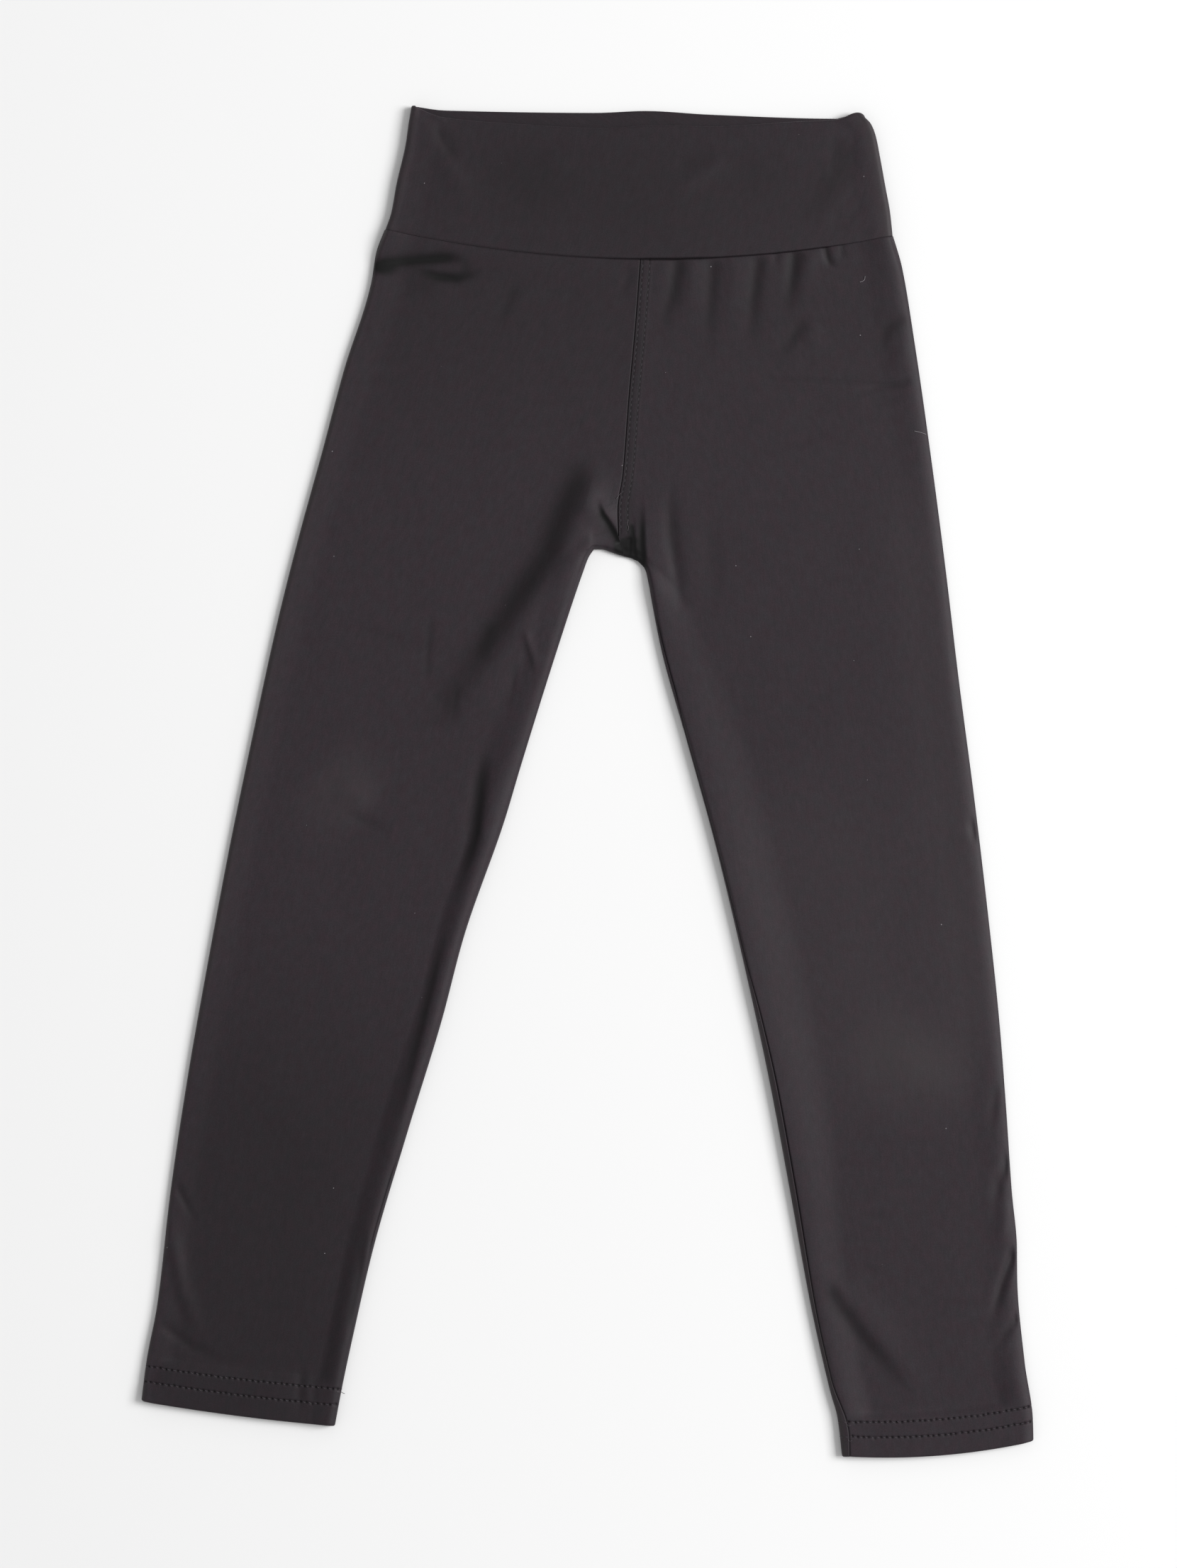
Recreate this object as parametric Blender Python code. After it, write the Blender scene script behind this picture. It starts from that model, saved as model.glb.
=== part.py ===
"""A child's high-waisted leggings, laid flat with the front up.

Three sewn pieces of brushed stretch jersey: a wide waistband of doubled cloth, and two legs. Each leg
is one panel, folded at its outer side. Below the crotch the inseam closes it into a flattened tube;
above the crotch it stays open and meets the other leg at the centre-front and centre-back seams.

Metres, +Z up, the cloth lying on z = 0. +Y points to the waist and +X to the right of the laid
garment. The tables are in millimetres: `across` is measured to the right from the middle of the laid
garment, and `down` from the top edge of the waistband towards the hems.
"""

import math
from collections import namedtuple

import bmesh
import bpy

MM = 0.001

# Driving sizes, in millimetres.
LENGTH = 629.3  # top edge of the waistband to the lowest point of the hems
CLOTH = 1.0  # one thickness of brushed jersey
DOUBLED = 1.9  # two thicknesses, in the waistband and the turned-up hems
SEAM_GAP = 0.3  # parting between two pieces that are sewn to each other
SLIT = 0.35  # least air between the front and back layers
LEG_AIR = 0.9  # usual air between a leg's layers
BAND_AIR = 0.45  # usual air between the waistband's layers
HEM_DEPTH = 16.5  # turned-up hem
HEM_STEP = 3.0  # length over which the wall thickens at the top of the hem

# The waist seam runs from side to side and hangs below a straight line in its middle.
SEAM_LEFT = (-94.4, 57.8)
SEAM_RIGHT = (142.2, 60.7)
SEAM_SAG = 12.3
SEAM_TOP = 4.1  # height of a leg's front where the band holds it up
SEAM_HOLD = 20.0  # length over which it sinks from there

# Folded sides stand higher than the middle of a piece, because the folded cloth springs open.
ROLL_WIDTH = 12.0
INSEAM_ROLL_WIDTH = 17.0
BAND_ROLL_WIDTH = 13.0
BAND_FOLD = 4.9

# Mesh steps round a piece.
FRONT_STEPS = {"leg_left": 32, "leg_right": 25}
BACK_STEPS = 5
FOLD_STEPS = 6
# Rows down a leg. They lie closer under the waist seam and below the crotch.
RISE_ROWS, RISE_CROWDING = 17, 1.4
THIGH, CALF = 300.0, 500.0
THIGH_ROWS, THIGH_CROWDING = 8, 1.3
KNEE_ROWS = 7
CALF_ROWS = 8
BAND_FRONT_STEPS = 26
BAND_ROWS = 9
CUT_EDGE_ANGLE = 50.0  # degrees; a sharper edge than this is a cut edge of the cloth

JERSEY = (0.034, 0.028, 0.033)
JERSEY_ROUGHNESS = 0.9

Point = namedtuple("Point", "across down height")

# Edges of the pieces: (down, across) rows.
CENTRE_FRONT = [(71.6, 24.6), (102.0, 22.3), (135.0, 19.3), (171.0, 16.5), (188.0, 14.1), (200.3, 14.3)]
CENTRE_BACK = [(71.6, 24.6), (120.0, 22.5), (165.0, 20.5), (209.6, 17.3)]
OUTER_EDGE = {
    "leg_right": [
        (57.8, -94.4), (69.3, -98.3), (82.5, -100.5), (122.1, -113.0), (161.7, -123.6), (201.3, -134.5),
        (240.9, -144.4), (293.7, -155.9), (346.5, -166.8), (399.3, -176.7), (452.1, -186.0), (504.9, -193.9),
        (557.7, -200.1), (584.1, -205.1), (602.4, -207.4),
    ],
    "leg_left": [
        (60.7, 142.2), (75.9, 146.4), (108.9, 152.0), (161.7, 159.6), (214.5, 166.5), (267.3, 172.8),
        (320.1, 179.7), (372.9, 186.0), (425.7, 191.6), (465.3, 194.7), (504.9, 197.4), (531.3, 199.8),
        (544.5, 199.9), (584.1, 203.3), (610.5, 207.1), (621.0, 207.4),
    ],
}
INSEAM_EDGE = {
    "leg_right": [
        (206.4, 3.0), (210.0, 0.6), (217.1, -2.1), (254.1, -14.4), (306.9, -30.9), (333.3, -38.8),
        (386.1, -57.3), (425.7, -67.8), (478.5, -84.0), (531.3, -99.5), (570.9, -108.7), (597.3, -114.3),
        (614.0, -117.4),
    ],
    "leg_left": [
        (212.0, 20.4), (220.1, 26.4), (232.3, 29.5), (254.1, 34.2), (293.7, 45.7), (346.5, 60.2),
        (399.3, 72.8), (452.1, 84.3), (504.9, 94.2), (557.7, 103.8), (597.3, 112.7), (610.5, 116.3),
        (628.3, 118.4),
    ],
}

# Lines across a leg, from its folded outer side to the seam on its inner side. `outer`, `front` and
# `back` say how far down each end lies; the sags are how far the line's middle hangs below them.
# Under the waist seam the lines also follow that seam's curve, over SEAM_FOLLOW.
SEAM_FOLLOW = 45.0
Line = namedtuple("Line", "outer front back front_sag back_sag")
RISE_LINES = {
    "leg_right": [
        Line(57.8, 71.6, 71.6, 0.0, 0.0),
        Line(78.0, 88.0, 88.0, 0.0, 0.0),
        Line(108.9, 115.0, 118.0, 0.0, 0.0),
        Line(148.5, 152.0, 158.0, 0.0, -1.0),
        Line(188.1, 190.0, 198.5, 0.0, -5.0),
        Line(198.5, 200.3, 209.6, 0.0, -9.0),
    ],
    "leg_left": [
        Line(60.7, 71.6, 71.6, 0.0, 0.0),
        Line(78.0, 88.0, 88.0, 0.0, 0.0),
        Line(108.9, 115.0, 118.0, 0.0, 0.0),
        Line(148.5, 152.0, 158.0, 0.0, 0.0),
        Line(188.1, 190.0, 198.5, 0.0, 0.0),
        Line(200.0, 200.3, 209.6, 0.0, 0.0),
    ],
}
TUBE_LINES = {
    "leg_right": [
        Line(206.5, 206.4, 206.4, 0.0, 0.0),
        Line(267.3, 271.5, 271.5, 0.0, 0.0),
        Line(406.0, 412.0, 412.0, 0.0, 0.0),
        Line(544.5, 553.5, 553.5, 0.5, 0.5),
        Line(602.4, 614.0, 614.0, 1.0, 1.0),
    ],
    "leg_left": [
        Line(209.5, 212.0, 212.0, 0.0, 0.0),
        Line(267.3, 271.5, 271.5, 0.0, 0.0),
        Line(404.0, 412.5, 412.5, 0.0, 0.0),
        Line(544.5, 553.0, 553.0, 1.0, 1.0),
        Line(621.0, 628.3, 628.3, 3.0, 3.0),
    ],
}

# Height of the folded sides: (down, height) rows. The hems are double cloth, so they stand higher.
OUTER_FOLD = [(57.8, 4.2), (90.0, 3.7), (560.0, 3.7), (600.0, 4.8)]
INSEAM_FOLD = [(206.4, 4.4), (560.0, 4.2), (605.0, 5.2)]

# Soft folds and gathers of the front. Each runs along a bowed line from its start to its end, listed
# from waist to hem; a negative height is a trough. `left` and `right` are its half-widths, and the
# fades are the shares of its length over which it rises and dies away.
Fold = namedtuple("Fold", "across0 down0 across1 down1 bow height left right fade_in fade_out")
FOLDS = [
    # Drag fold from the crotch across the right thigh.
    Fold(5.5, 160.0, -22.0, 222.0, 1.5, 4.6, 5.5, 12.0, 0.45, 0.25),
    Fold(-20.0, 205.0, -62.0, 290.0, -2.0, 2.4, 6.0, 14.0, 0.35, 0.6),
    # Fold beside the crotch, down the inside of the left thigh.
    Fold(25.0, 160.0, 44.0, 262.0, 1.0, 2.8, 4.0, 8.0, 0.4, 0.5),
    Fold(34.5, 175.0, 41.5, 240.0, 0.0, -0.6, 4.0, 4.0, 0.4, 0.4),
    # Two short troughs at the right hip, below the band, and the puff between them and the band.
    Fold(-95.0, 74.0, -60.0, 70.5, 0.0, -1.5, 2.6, 2.6, 0.25, 0.15),
    Fold(-95.0, 66.5, -62.0, 64.5, 0.0, 0.8, 2.6, 2.6, 0.3, 0.3),
    Fold(-72.0, 78.5, -46.0, 79.0, -1.5, -1.1, 2.6, 2.6, 0.3, 0.3),
    # Gathers under the band on the left side: a trough and the ridge beside it, six times.
    Fold(41.5, 70.0, 31.0, 106.0, 1.5, -1.3, 3.5, 3.0, 0.0, 0.6),
    Fold(49.5, 70.0, 41.0, 110.0, 1.5, 0.9, 3.5, 5.0, 0.0, 0.6),
    Fold(58.0, 70.0, 56.0, 112.0, 0.0, -1.1, 3.5, 3.0, 0.0, 0.6),
    Fold(67.0, 70.0, 65.0, 112.0, 0.0, 0.7, 4.0, 5.0, 0.0, 0.7),
    Fold(79.5, 70.0, 75.5, 114.0, 0.0, -1.2, 3.5, 3.0, 0.0, 0.6),
    Fold(87.5, 69.0, 84.5, 110.0, 0.0, 0.8, 3.5, 4.0, 0.0, 0.7),
    Fold(96.0, 68.0, 94.5, 92.0, 0.0, -1.2, 3.0, 3.0, 0.0, 0.5),
    Fold(103.5, 67.0, 100.0, 110.0, 0.0, 0.9, 4.0, 4.5, 0.0, 0.6),
    Fold(103.0, 94.0, 90.5, 115.0, 0.0, -0.8, 3.0, 2.5, 0.4, 0.4),
    Fold(111.0, 66.0, 114.5, 79.0, 0.0, -1.2, 3.0, 2.5, 0.0, 0.5),
    Fold(118.5, 65.0, 118.0, 74.0, 0.0, -0.9, 3.0, 2.5, 0.0, 0.6),
    # Fold that leaves the inseam above the left ankle and crosses to the hem.
    Fold(103.0, 520.0, 156.0, 607.0, 2.0, 2.3, 4.5, 8.0, 0.35, 0.4),
    # Puckers beside the outer edge of the left calf and ankle.
    Fold(189.0, 450.0, 188.5, 478.0, 0.0, -0.7, 3.0, 3.0, 0.4, 0.4),
    Fold(193.5, 538.0, 190.0, 570.0, 0.0, -0.9, 3.5, 3.0, 0.3, 0.4),
    # Curl of the outer edge above the right ankle.
    Fold(-194.0, 506.0, -179.0, 577.0, -2.0, 0.9, 3.5, 5.0, 0.3, 0.4),
    # Pinch in the right hem, beside the inseam.
    Fold(-133.0, 588.0, -133.0, 608.0, 0.0, -0.8, 3.5, 3.5, 0.4, 0.2),
]
BAND_FOLDS = [
    # Diagonals where the band's folded corners spring open.
    Fold(-78.0, 9.0, -52.0, 50.0, 1.0, 0.6, 4.0, 4.0, 0.3, 0.4),
    Fold(121.0, 4.0, 115.0, 40.0, 0.0, -0.5, 4.0, 4.0, 0.3, 0.4),
]

# Side edges of the waistband: (share of the height above the seam, across) rows.
BAND_LEFT = [(0.0, -93.9), (0.14, -91.2), (0.37, -88.8), (0.7, -84.5), (0.86, -83.2), (1.0, -81.9)]
BAND_RIGHT = [
    (0.0, 141.9), (0.2, 140.7), (0.43, 138.4), (0.66, 136.1), (0.84, 134.1), (0.94, 132.0), (1.0, 129.0),
]
# Its top edge: (across, down) rows. The back stands above the front and shows over it.
BAND_TOP_FRONT = [
    (-81.9, 0.0), (-66.8, 5.6), (-39.1, 8.2), (8.7, 10.6), (29.9, 9.2), (56.6, 9.8), (95.5, 7.6),
    (116.0, 6.6), (125.5, 3.4), (129.0, 4.6),
]
BAND_TOP_BACK = [
    (-81.9, 0.0), (-66.0, 2.1), (3.8, 3.2), (27.0, 2.3), (56.6, 4.0), (116.0, 5.9), (125.5, 3.3),
    (129.0, 4.6),
]


def eased(table, place):
    """Value at `place` on the monotone curve through a table's (place, value) rows."""
    if place <= table[0][0]:
        return table[0][1]
    if place >= table[-1][0]:
        return table[-1][1]
    slopes = [(b[1] - a[1]) / (b[0] - a[0]) for a, b in zip(table, table[1:])]
    tangents = [slopes[0]]
    for before, after in zip(slopes, slopes[1:]):
        turns = before * after <= 0
        tangents.append(0.0 if turns else 2 * before * after / (before + after))
    tangents.append(slopes[-1])
    k = max(i for i, row in enumerate(table[:-1]) if row[0] <= place)
    (x0, y0), (x1, y1) = table[k], table[k + 1]
    span = x1 - x0
    t = (place - x0) / span
    return (
        y0 * (1 + 2 * t) * (1 - t) ** 2
        + tangents[k] * span * t * (1 - t) ** 2
        + y1 * t * t * (3 - 2 * t)
        - tangents[k + 1] * span * t * t * (1 - t)
    )


def blend(a, b, share):
    return a + (b - a) * share


def smooth_step(share):
    share = min(max(share, 0.0), 1.0)
    return share * share * (3 - 2 * share)


def fall_off(distance, width):
    """1 at the edge of a piece, sinking smoothly to 0 at `width` from it."""
    return 1 - smooth_step(distance / width)


def hump(share):
    """0 at both ends of a line and 1 in its middle."""
    return 4 * share * (1 - share)


def seam_down(across):
    """How far down the waist seam lies."""
    share = (across - SEAM_LEFT[0]) / (SEAM_RIGHT[0] - SEAM_LEFT[0])
    return blend(SEAM_LEFT[1], SEAM_RIGHT[1], share) + SEAM_SAG * hump(share)


def fade(share, length):
    """Rise of a fold from its end; a fold with no fade is cut off by a seam."""
    return smooth_step(share / length) if length else 1.0


def fold_height(fold, across, down):
    run_across, run_down = fold.across1 - fold.across0, fold.down1 - fold.down0
    length = math.hypot(run_across, run_down)
    from_across, from_down = across - fold.across0, down - fold.down0
    share = (from_across * run_across + from_down * run_down) / length**2
    side = (from_across * run_down - from_down * run_across) / length - fold.bow * hump(share)
    width = fold.left if side < 0 else fold.right
    along = fade(share, fold.fade_in) * fade(1 - share, fold.fade_out)
    return fold.height * math.exp(-((side / width) ** 2)) * along


def relief(folds, across, down):
    return sum(fold_height(fold, across, down) for fold in folds)


def leg_wall(leg, outer_down):
    """Thickness of a leg's cloth on one of its lines: double in the hem."""
    hem_top = TUBE_LINES[leg][-1].outer - HEM_DEPTH
    return blend(CLOTH, DOUBLED, smooth_step((outer_down - hem_top) / HEM_STEP + 0.5))


def between(lines, outer_down):
    """The line across a leg that starts `outer_down` on its outer edge."""
    columns = ([(line.outer, line[k]) for line in lines] for k in range(len(Line._fields)))
    return Line(*(eased(column, outer_down) for column in columns))


def spread(start, stop, steps, crowding=1.0):
    """Places from start up to but not at stop; a crowding over 1 sets them closer at the start."""
    return [blend(start, stop, (k / steps) ** crowding) for k in range(steps)]


def leg_places(leg):
    """Places down the outer edge of a leg's mesh lines: (those of the open rise, those of the tube)."""
    rise, tube = RISE_LINES[leg], TUBE_LINES[leg]
    hem_top = tube[-1].outer - HEM_DEPTH
    rise_places = spread(rise[0].outer, rise[-1].outer, RISE_ROWS, RISE_CROWDING) + [rise[-1].outer]
    tube_places = (
        spread(tube[0].outer, THIGH, THIGH_ROWS, THIGH_CROWDING)
        + spread(THIGH, CALF, KNEE_ROWS)
        + spread(CALF, hem_top - HEM_STEP, CALF_ROWS)
        + [hem_top - HEM_STEP / 2, hem_top + HEM_STEP / 2, hem_top + HEM_DEPTH / 2, tube[-1].outer]
    )
    return rise_places, tube_places


def quarter_turns(steps):
    """Angles inside a half-round fold, from its top round to its underside."""
    return [math.pi / 2 - math.pi * k / steps for k in range(1, steps)]


def round_fold(edge, direction, reach, top, wall):
    """Points (outside, inside) round a folded side, from its top to its underside.

    `edge` is the outermost point, `direction` points out of the cloth, and `reach` is how far the
    fold's middle lies inside the edge. `top` is the height of the cloth where the fold starts.
    """
    pairs = []
    for angle in quarter_turns(FOLD_STEPS):
        pair = []
        for depth in (0.0, wall):
            out = (reach - depth) * math.cos(angle) - reach
            height = top / 2 + (top / 2 - depth) * math.sin(angle)
            pair.append(Point(edge[0] + direction[0] * out, edge[1] + direction[1] * out, height))
        pairs.append(tuple(pair))
    return pairs


def seam_follower(leg, outer_down):
    """How far a leg's line is pulled off its straight course by the waist seam above it."""
    first = RISE_LINES[leg][0]
    start, end = OUTER_EDGE[leg][0][1], CENTRE_FRONT[0][1]
    follow = fall_off(outer_down - first.outer, SEAM_FOLLOW)

    def pull(across):
        straight = blend(first.outer, first.front, (across - start) / (end - start))
        return (seam_down(across) - straight) * follow

    return pull


def leg_section(leg, place, is_tube):
    """Points (outside, inside) all round a leg on one line, from the front's inner end.

    They run over the front to the outer fold and back along the underside. A tube's section then
    goes round the inseam fold to where it started.
    """
    line = between(TUBE_LINES[leg] if is_tube else RISE_LINES[leg], place)
    wall = leg_wall(leg, place)
    out = 1 if leg == "leg_left" else -1
    parting = SEAM_GAP / 2
    shift = 0.0 if is_tube else parting
    waist_shift = parting * fall_off(place - RISE_LINES[leg][0].outer, SEAM_HOLD)
    outer = (eased(OUTER_EDGE[leg], line.outer), line.outer + waist_shift)
    inner_edges = (INSEAM_EDGE[leg],) * 2 if is_tube else (CENTRE_FRONT, CENTRE_BACK)
    front = (eased(inner_edges[0], line.front) + out * shift, line.front + waist_shift)
    back = (eased(inner_edges[1], line.back) + out * shift, line.back + waist_shift)

    across, down = outer[0] - (front[0] + back[0]) / 2, outer[1] - (front[1] + back[1]) / 2
    span = math.hypot(across, down)
    direction = (across / span, down / span)
    outer_fold = eased(OUTER_FOLD, line.outer)
    outer_reach = outer_fold / 2
    fold_start = (outer[0] - direction[0] * outer_reach, outer[1] - direction[1] * outer_reach)
    inseam_fold = eased(INSEAM_FOLD, line.front)
    inner_reach = inseam_fold / 2
    if is_tube:
        front = (front[0] + direction[0] * inner_reach, front[1] + direction[1] * inner_reach)
        back = front

    rest = 2 * wall + LEG_AIR
    pull = seam_follower(leg, line.outer)
    crotch_line = TUBE_LINES[leg][0]
    inseam_roll_from = front if is_tube else (eased(INSEAM_EDGE[leg], crotch_line.front), crotch_line.front)

    def line_point(end, share, sag):
        across = blend(end[0], fold_start[0], share)
        return across, blend(end[1], fold_start[1], share) + sag * hump(share) + pull(across)

    def top_height(point):
        height = rest + relief(FOLDS, *point)
        height += (SEAM_TOP - rest) * fall_off(point[1] - seam_down(point[0]), SEAM_HOLD)
        height += (outer_fold - rest) * fall_off(math.dist(point, fold_start), ROLL_WIDTH)
        height += (inseam_fold - rest) * fall_off(math.dist(point, inseam_roll_from), INSEAM_ROLL_WIDTH)
        return max(height, 2 * wall + SLIT)

    section = []
    steps = FRONT_STEPS[leg]
    for k in range(steps + 1):
        point = line_point(front, k / steps, line.front_sag)
        height = top_height(point)
        section.append((Point(*point, height), Point(*point, height - wall)))
    for pair in round_fold(outer, direction, outer_reach, section[-1][0].height, wall):
        section.append([point._replace(down=point.down + pull(point.across)) for point in pair])
    for k in range(BACK_STEPS + 1):
        point = line_point(back, 1 - k / BACK_STEPS, line.back_sag)
        section.append((Point(*point, 0.0), Point(*point, wall)))
    if is_tube:
        inner = (front[0] - direction[0] * inner_reach, front[1] - direction[1] * inner_reach)
        inwards = (-direction[0], -direction[1])
        section += round_fold(inner, inwards, inner_reach, section[0][0].height, wall)[::-1]
    return section


def band_section(share_up):
    """Points (outside, inside) round the waistband at a share of its height above the seam."""
    reach = BAND_FOLD / 2
    left, right = eased(BAND_LEFT, share_up), eased(BAND_RIGHT, share_up)
    parting = SEAM_GAP / 2 * (1 - share_up)
    rest = 2 * DOUBLED + BAND_AIR

    def down_at(across, top_edge):
        share = (across - left) / (right - left)
        seam_place = blend(SEAM_LEFT[0], SEAM_RIGHT[0], share)
        top_place = blend(top_edge[0][0], top_edge[-1][0], share)
        return blend(seam_down(seam_place) - parting, eased(top_edge, top_place), share_up)

    def top_height(across, down):
        height = rest + relief(BAND_FOLDS, across, down)
        for side in (left + reach, right - reach):
            height += (BAND_FOLD - rest) * fall_off(abs(across - side), BAND_ROLL_WIDTH)
        return max(height, 2 * DOUBLED + SLIT)

    front, back = [], []
    for k in range(BAND_FRONT_STEPS + 1):
        across = blend(left + reach, right - reach, k / BAND_FRONT_STEPS)
        down = down_at(across, BAND_TOP_FRONT)
        height = top_height(across, down)
        front.append((Point(across, down, height), Point(across, down, height - DOUBLED)))
        down = down_at(across, BAND_TOP_BACK)
        back.append((Point(across, down, 0.0), Point(across, down, DOUBLED)))

    def side_fold(edge, direction, top):
        pairs = round_fold((edge, 0.0), direction, reach, top, DOUBLED)
        return [
            [point._replace(down=down_at(point.across, BAND_TOP_BACK)) for point in pair] for pair in pairs
        ]

    right_fold = side_fold(right, (1, 0), front[-1][0].height)
    left_fold = side_fold(left, (-1, 0), front[0][0].height)
    return front + right_fold + back[::-1] + left_fold[::-1]


def place(point):
    """A table's point in metres, in the model's frame."""
    return (point.across * MM, (LENGTH / 2 - point.down) * MM, point.height * MM)


def sew_mesh(name, sections, open_rows=0):
    """One closed mesh from rows of (outside, inside) points.

    Every row goes round the piece. The first `open_rows` rows are shorter: they stop where the others
    go on round a fold, so the wall has a slot there, with its own cut faces.
    """
    mesh = bmesh.new()
    corner = {}
    for i, section in enumerate(sections):
        for j, pair in enumerate(section):
            for side in (0, 1):
                corner[i, j, side] = mesh.verts.new(place(pair[side]))
    around = len(sections[-1])
    cells = {
        (i, j)
        for i in range(len(sections) - 1)
        for j in range(around)
        if i >= open_rows or (i, (j + 1) % around, 0) in corner and (i, j, 0) in corner and j + 1 < around
    }
    for i, j in sorted(cells):
        after = (j + 1) % around
        loop = [(i, j), (i + 1, j), (i + 1, after), (i, after)]
        mesh.faces.new([corner[at + (0,)] for at in loop])
        mesh.faces.new([corner[at + (1,)] for at in reversed(loop)])
        neighbours = [(i, (j - 1) % around), (i + 1, j), (i, after), (i - 1, j)]
        for k, neighbour in enumerate(neighbours):
            if neighbour not in cells:
                a, b = loop[k], loop[(k + 1) % 4]
                mesh.faces.new([corner[b + (0,)], corner[a + (0,)], corner[a + (1,)], corner[b + (1,)]])
    bmesh.ops.recalc_face_normals(mesh, faces=mesh.faces)
    data = bpy.data.meshes.new(name)
    mesh.to_mesh(data)
    mesh.free()
    return data


def add_piece(name, data, garment):
    """The piece as an object with its own jersey material, shaded smooth but for its cut edges."""
    piece = bpy.data.objects.new(name, data)
    bpy.context.scene.collection.objects.link(piece)
    piece.parent = garment
    data.shade_smooth()
    data.set_sharp_from_angle(angle=math.radians(CUT_EDGE_ANGLE))
    material = bpy.data.materials.new(name + "_jersey")
    material.use_nodes = True
    finish = material.node_tree.nodes["Principled BSDF"].inputs
    finish["Base Color"].default_value = (*JERSEY, 1.0)
    finish["Roughness"].default_value = JERSEY_ROUGHNESS
    finish["Metallic"].default_value = 0.0
    data.materials.append(material)


def build_leg(leg, garment):
    rise_places, tube_places = leg_places(leg)
    sections = [leg_section(leg, place, False) for place in rise_places]
    sections += [leg_section(leg, place, True) for place in tube_places]
    add_piece(leg, sew_mesh(leg, sections, open_rows=len(rise_places)), garment)


def build_waistband(garment):
    sections = [band_section(k / BAND_ROWS) for k in range(BAND_ROWS + 1)]
    add_piece("waistband", sew_mesh("waistband", sections), garment)


for old in list(bpy.data.objects):
    bpy.data.objects.remove(old, do_unlink=True)

leggings = bpy.data.objects.new("leggings", None)
bpy.context.scene.collection.objects.link(leggings)
build_waistband(leggings)
build_leg("leg_left", leggings)
build_leg("leg_right", leggings)
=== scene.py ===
import math
from collections import namedtuple

import bpy
import numpy as np
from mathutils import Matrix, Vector, noise


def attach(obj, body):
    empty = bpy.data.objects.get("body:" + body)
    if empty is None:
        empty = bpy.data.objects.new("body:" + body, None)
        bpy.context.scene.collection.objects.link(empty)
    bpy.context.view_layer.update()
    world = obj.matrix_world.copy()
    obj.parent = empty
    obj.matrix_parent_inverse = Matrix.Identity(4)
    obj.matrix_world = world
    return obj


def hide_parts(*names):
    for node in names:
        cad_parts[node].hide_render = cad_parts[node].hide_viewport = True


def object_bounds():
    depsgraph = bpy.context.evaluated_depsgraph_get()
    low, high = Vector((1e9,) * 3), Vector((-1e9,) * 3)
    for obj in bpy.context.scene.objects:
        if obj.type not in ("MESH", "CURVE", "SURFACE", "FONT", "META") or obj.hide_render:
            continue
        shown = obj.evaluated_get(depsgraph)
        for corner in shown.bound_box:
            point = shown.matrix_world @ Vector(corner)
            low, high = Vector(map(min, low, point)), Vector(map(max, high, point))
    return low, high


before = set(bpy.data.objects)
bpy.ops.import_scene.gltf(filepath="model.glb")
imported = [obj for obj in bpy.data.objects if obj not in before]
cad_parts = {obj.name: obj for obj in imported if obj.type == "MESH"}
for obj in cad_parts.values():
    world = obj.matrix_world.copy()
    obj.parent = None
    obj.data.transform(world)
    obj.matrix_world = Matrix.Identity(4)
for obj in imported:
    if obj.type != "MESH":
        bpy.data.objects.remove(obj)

cad_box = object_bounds()

# ---- The two legs --------------------------------------------------------------------------------
# Each leg is one panel of brushed stretch jersey, its front and back cut in one and folded at the
# outer side, so there is no side seam. The inseam closes it below the crotch; above, it stays open
# and meets the other leg at the centre-front and centre-back seams. The hem is turned up inside.
#
# Tables are in millimetres: `across` runs to the right from the middle of the laid garment, and
# `down` from the waistband's top edge towards the hems.
MM = 0.001
TOP_EDGE = cad_box[1].y
CLOTH = 1.0  # thickness of the cloth, and where it is double
DOUBLED = 1.9
LEG_AIR = 0.9  # between a leg's front and back
HEM_DEPTH = 16.5
HEM_ROWS = (9.5, 16.5)  # the two needle rows, above the hem's edge
HEM_STEP = 6.0  # the cloth thickens over this length, from HEM_STEP_TOP above the hem's edge
HEM_STEP_TOP = 22.0
PARTING = 0.03  # half the gap between two pieces that are sewn together

# The waist seam, as (across, down) at its ends. Its middle hangs SEAM_SAG below them, and the band
# holds the legs' cloth SEAM_TOP high at the seam, and less so down to SEAM_HOLD below it.
SEAM_LEFT = (-94.4, 57.8)
SEAM_RIGHT = (142.2, 60.7)
SEAM_SAG = 12.3
SEAM_TOP = 4.1
SEAM_HOLD = 20.0

# The centre seams, as (down, across); the crotch edge, where the cloth folds under, as (across, down).
CENTRE_FRONT = [(71.6, 24.6), (102.0, 22.3), (135.0, 19.3), (171.0, 16.5), (188.0, 14.1), (200.3, 14.3)]
CENTRE_BACK = [(71.6, 24.6), (120.0, 22.5), (165.0, 20.5), (208.65, 17.0)]
CROTCH_EDGE = {
    "leg_right": [(3.0, 206.4), (7.1, 206.4), (9.7, 207.2), (12.4, 208.2), (17.17, 209.77)],
    "leg_left": [(17.23, 209.77), (20.0, 210.4), (23.6, 212.0)],
}
OUTER_EDGE = {
    "leg_right": [
        (57.8, -94.4), (69.3, -98.3), (82.5, -100.5), (122.1, -113.0), (161.7, -123.6), (201.3, -134.5),
        (240.9, -144.4), (293.7, -155.9), (346.5, -166.8), (399.3, -176.7), (452.1, -186.0), (504.9, -193.9),
        (557.7, -200.1), (584.1, -205.1), (602.4, -207.4),
    ],
    "leg_left": [
        (60.7, 142.2), (75.9, 146.4), (108.9, 152.0), (161.7, 159.6), (214.5, 166.5), (267.3, 172.8),
        (320.1, 179.7), (372.9, 186.0), (425.7, 191.6), (465.3, 194.7), (504.9, 197.4), (531.3, 199.8),
        (544.5, 199.9), (584.1, 203.3), (610.5, 207.1), (621.0, 207.4),
    ],
}
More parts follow.
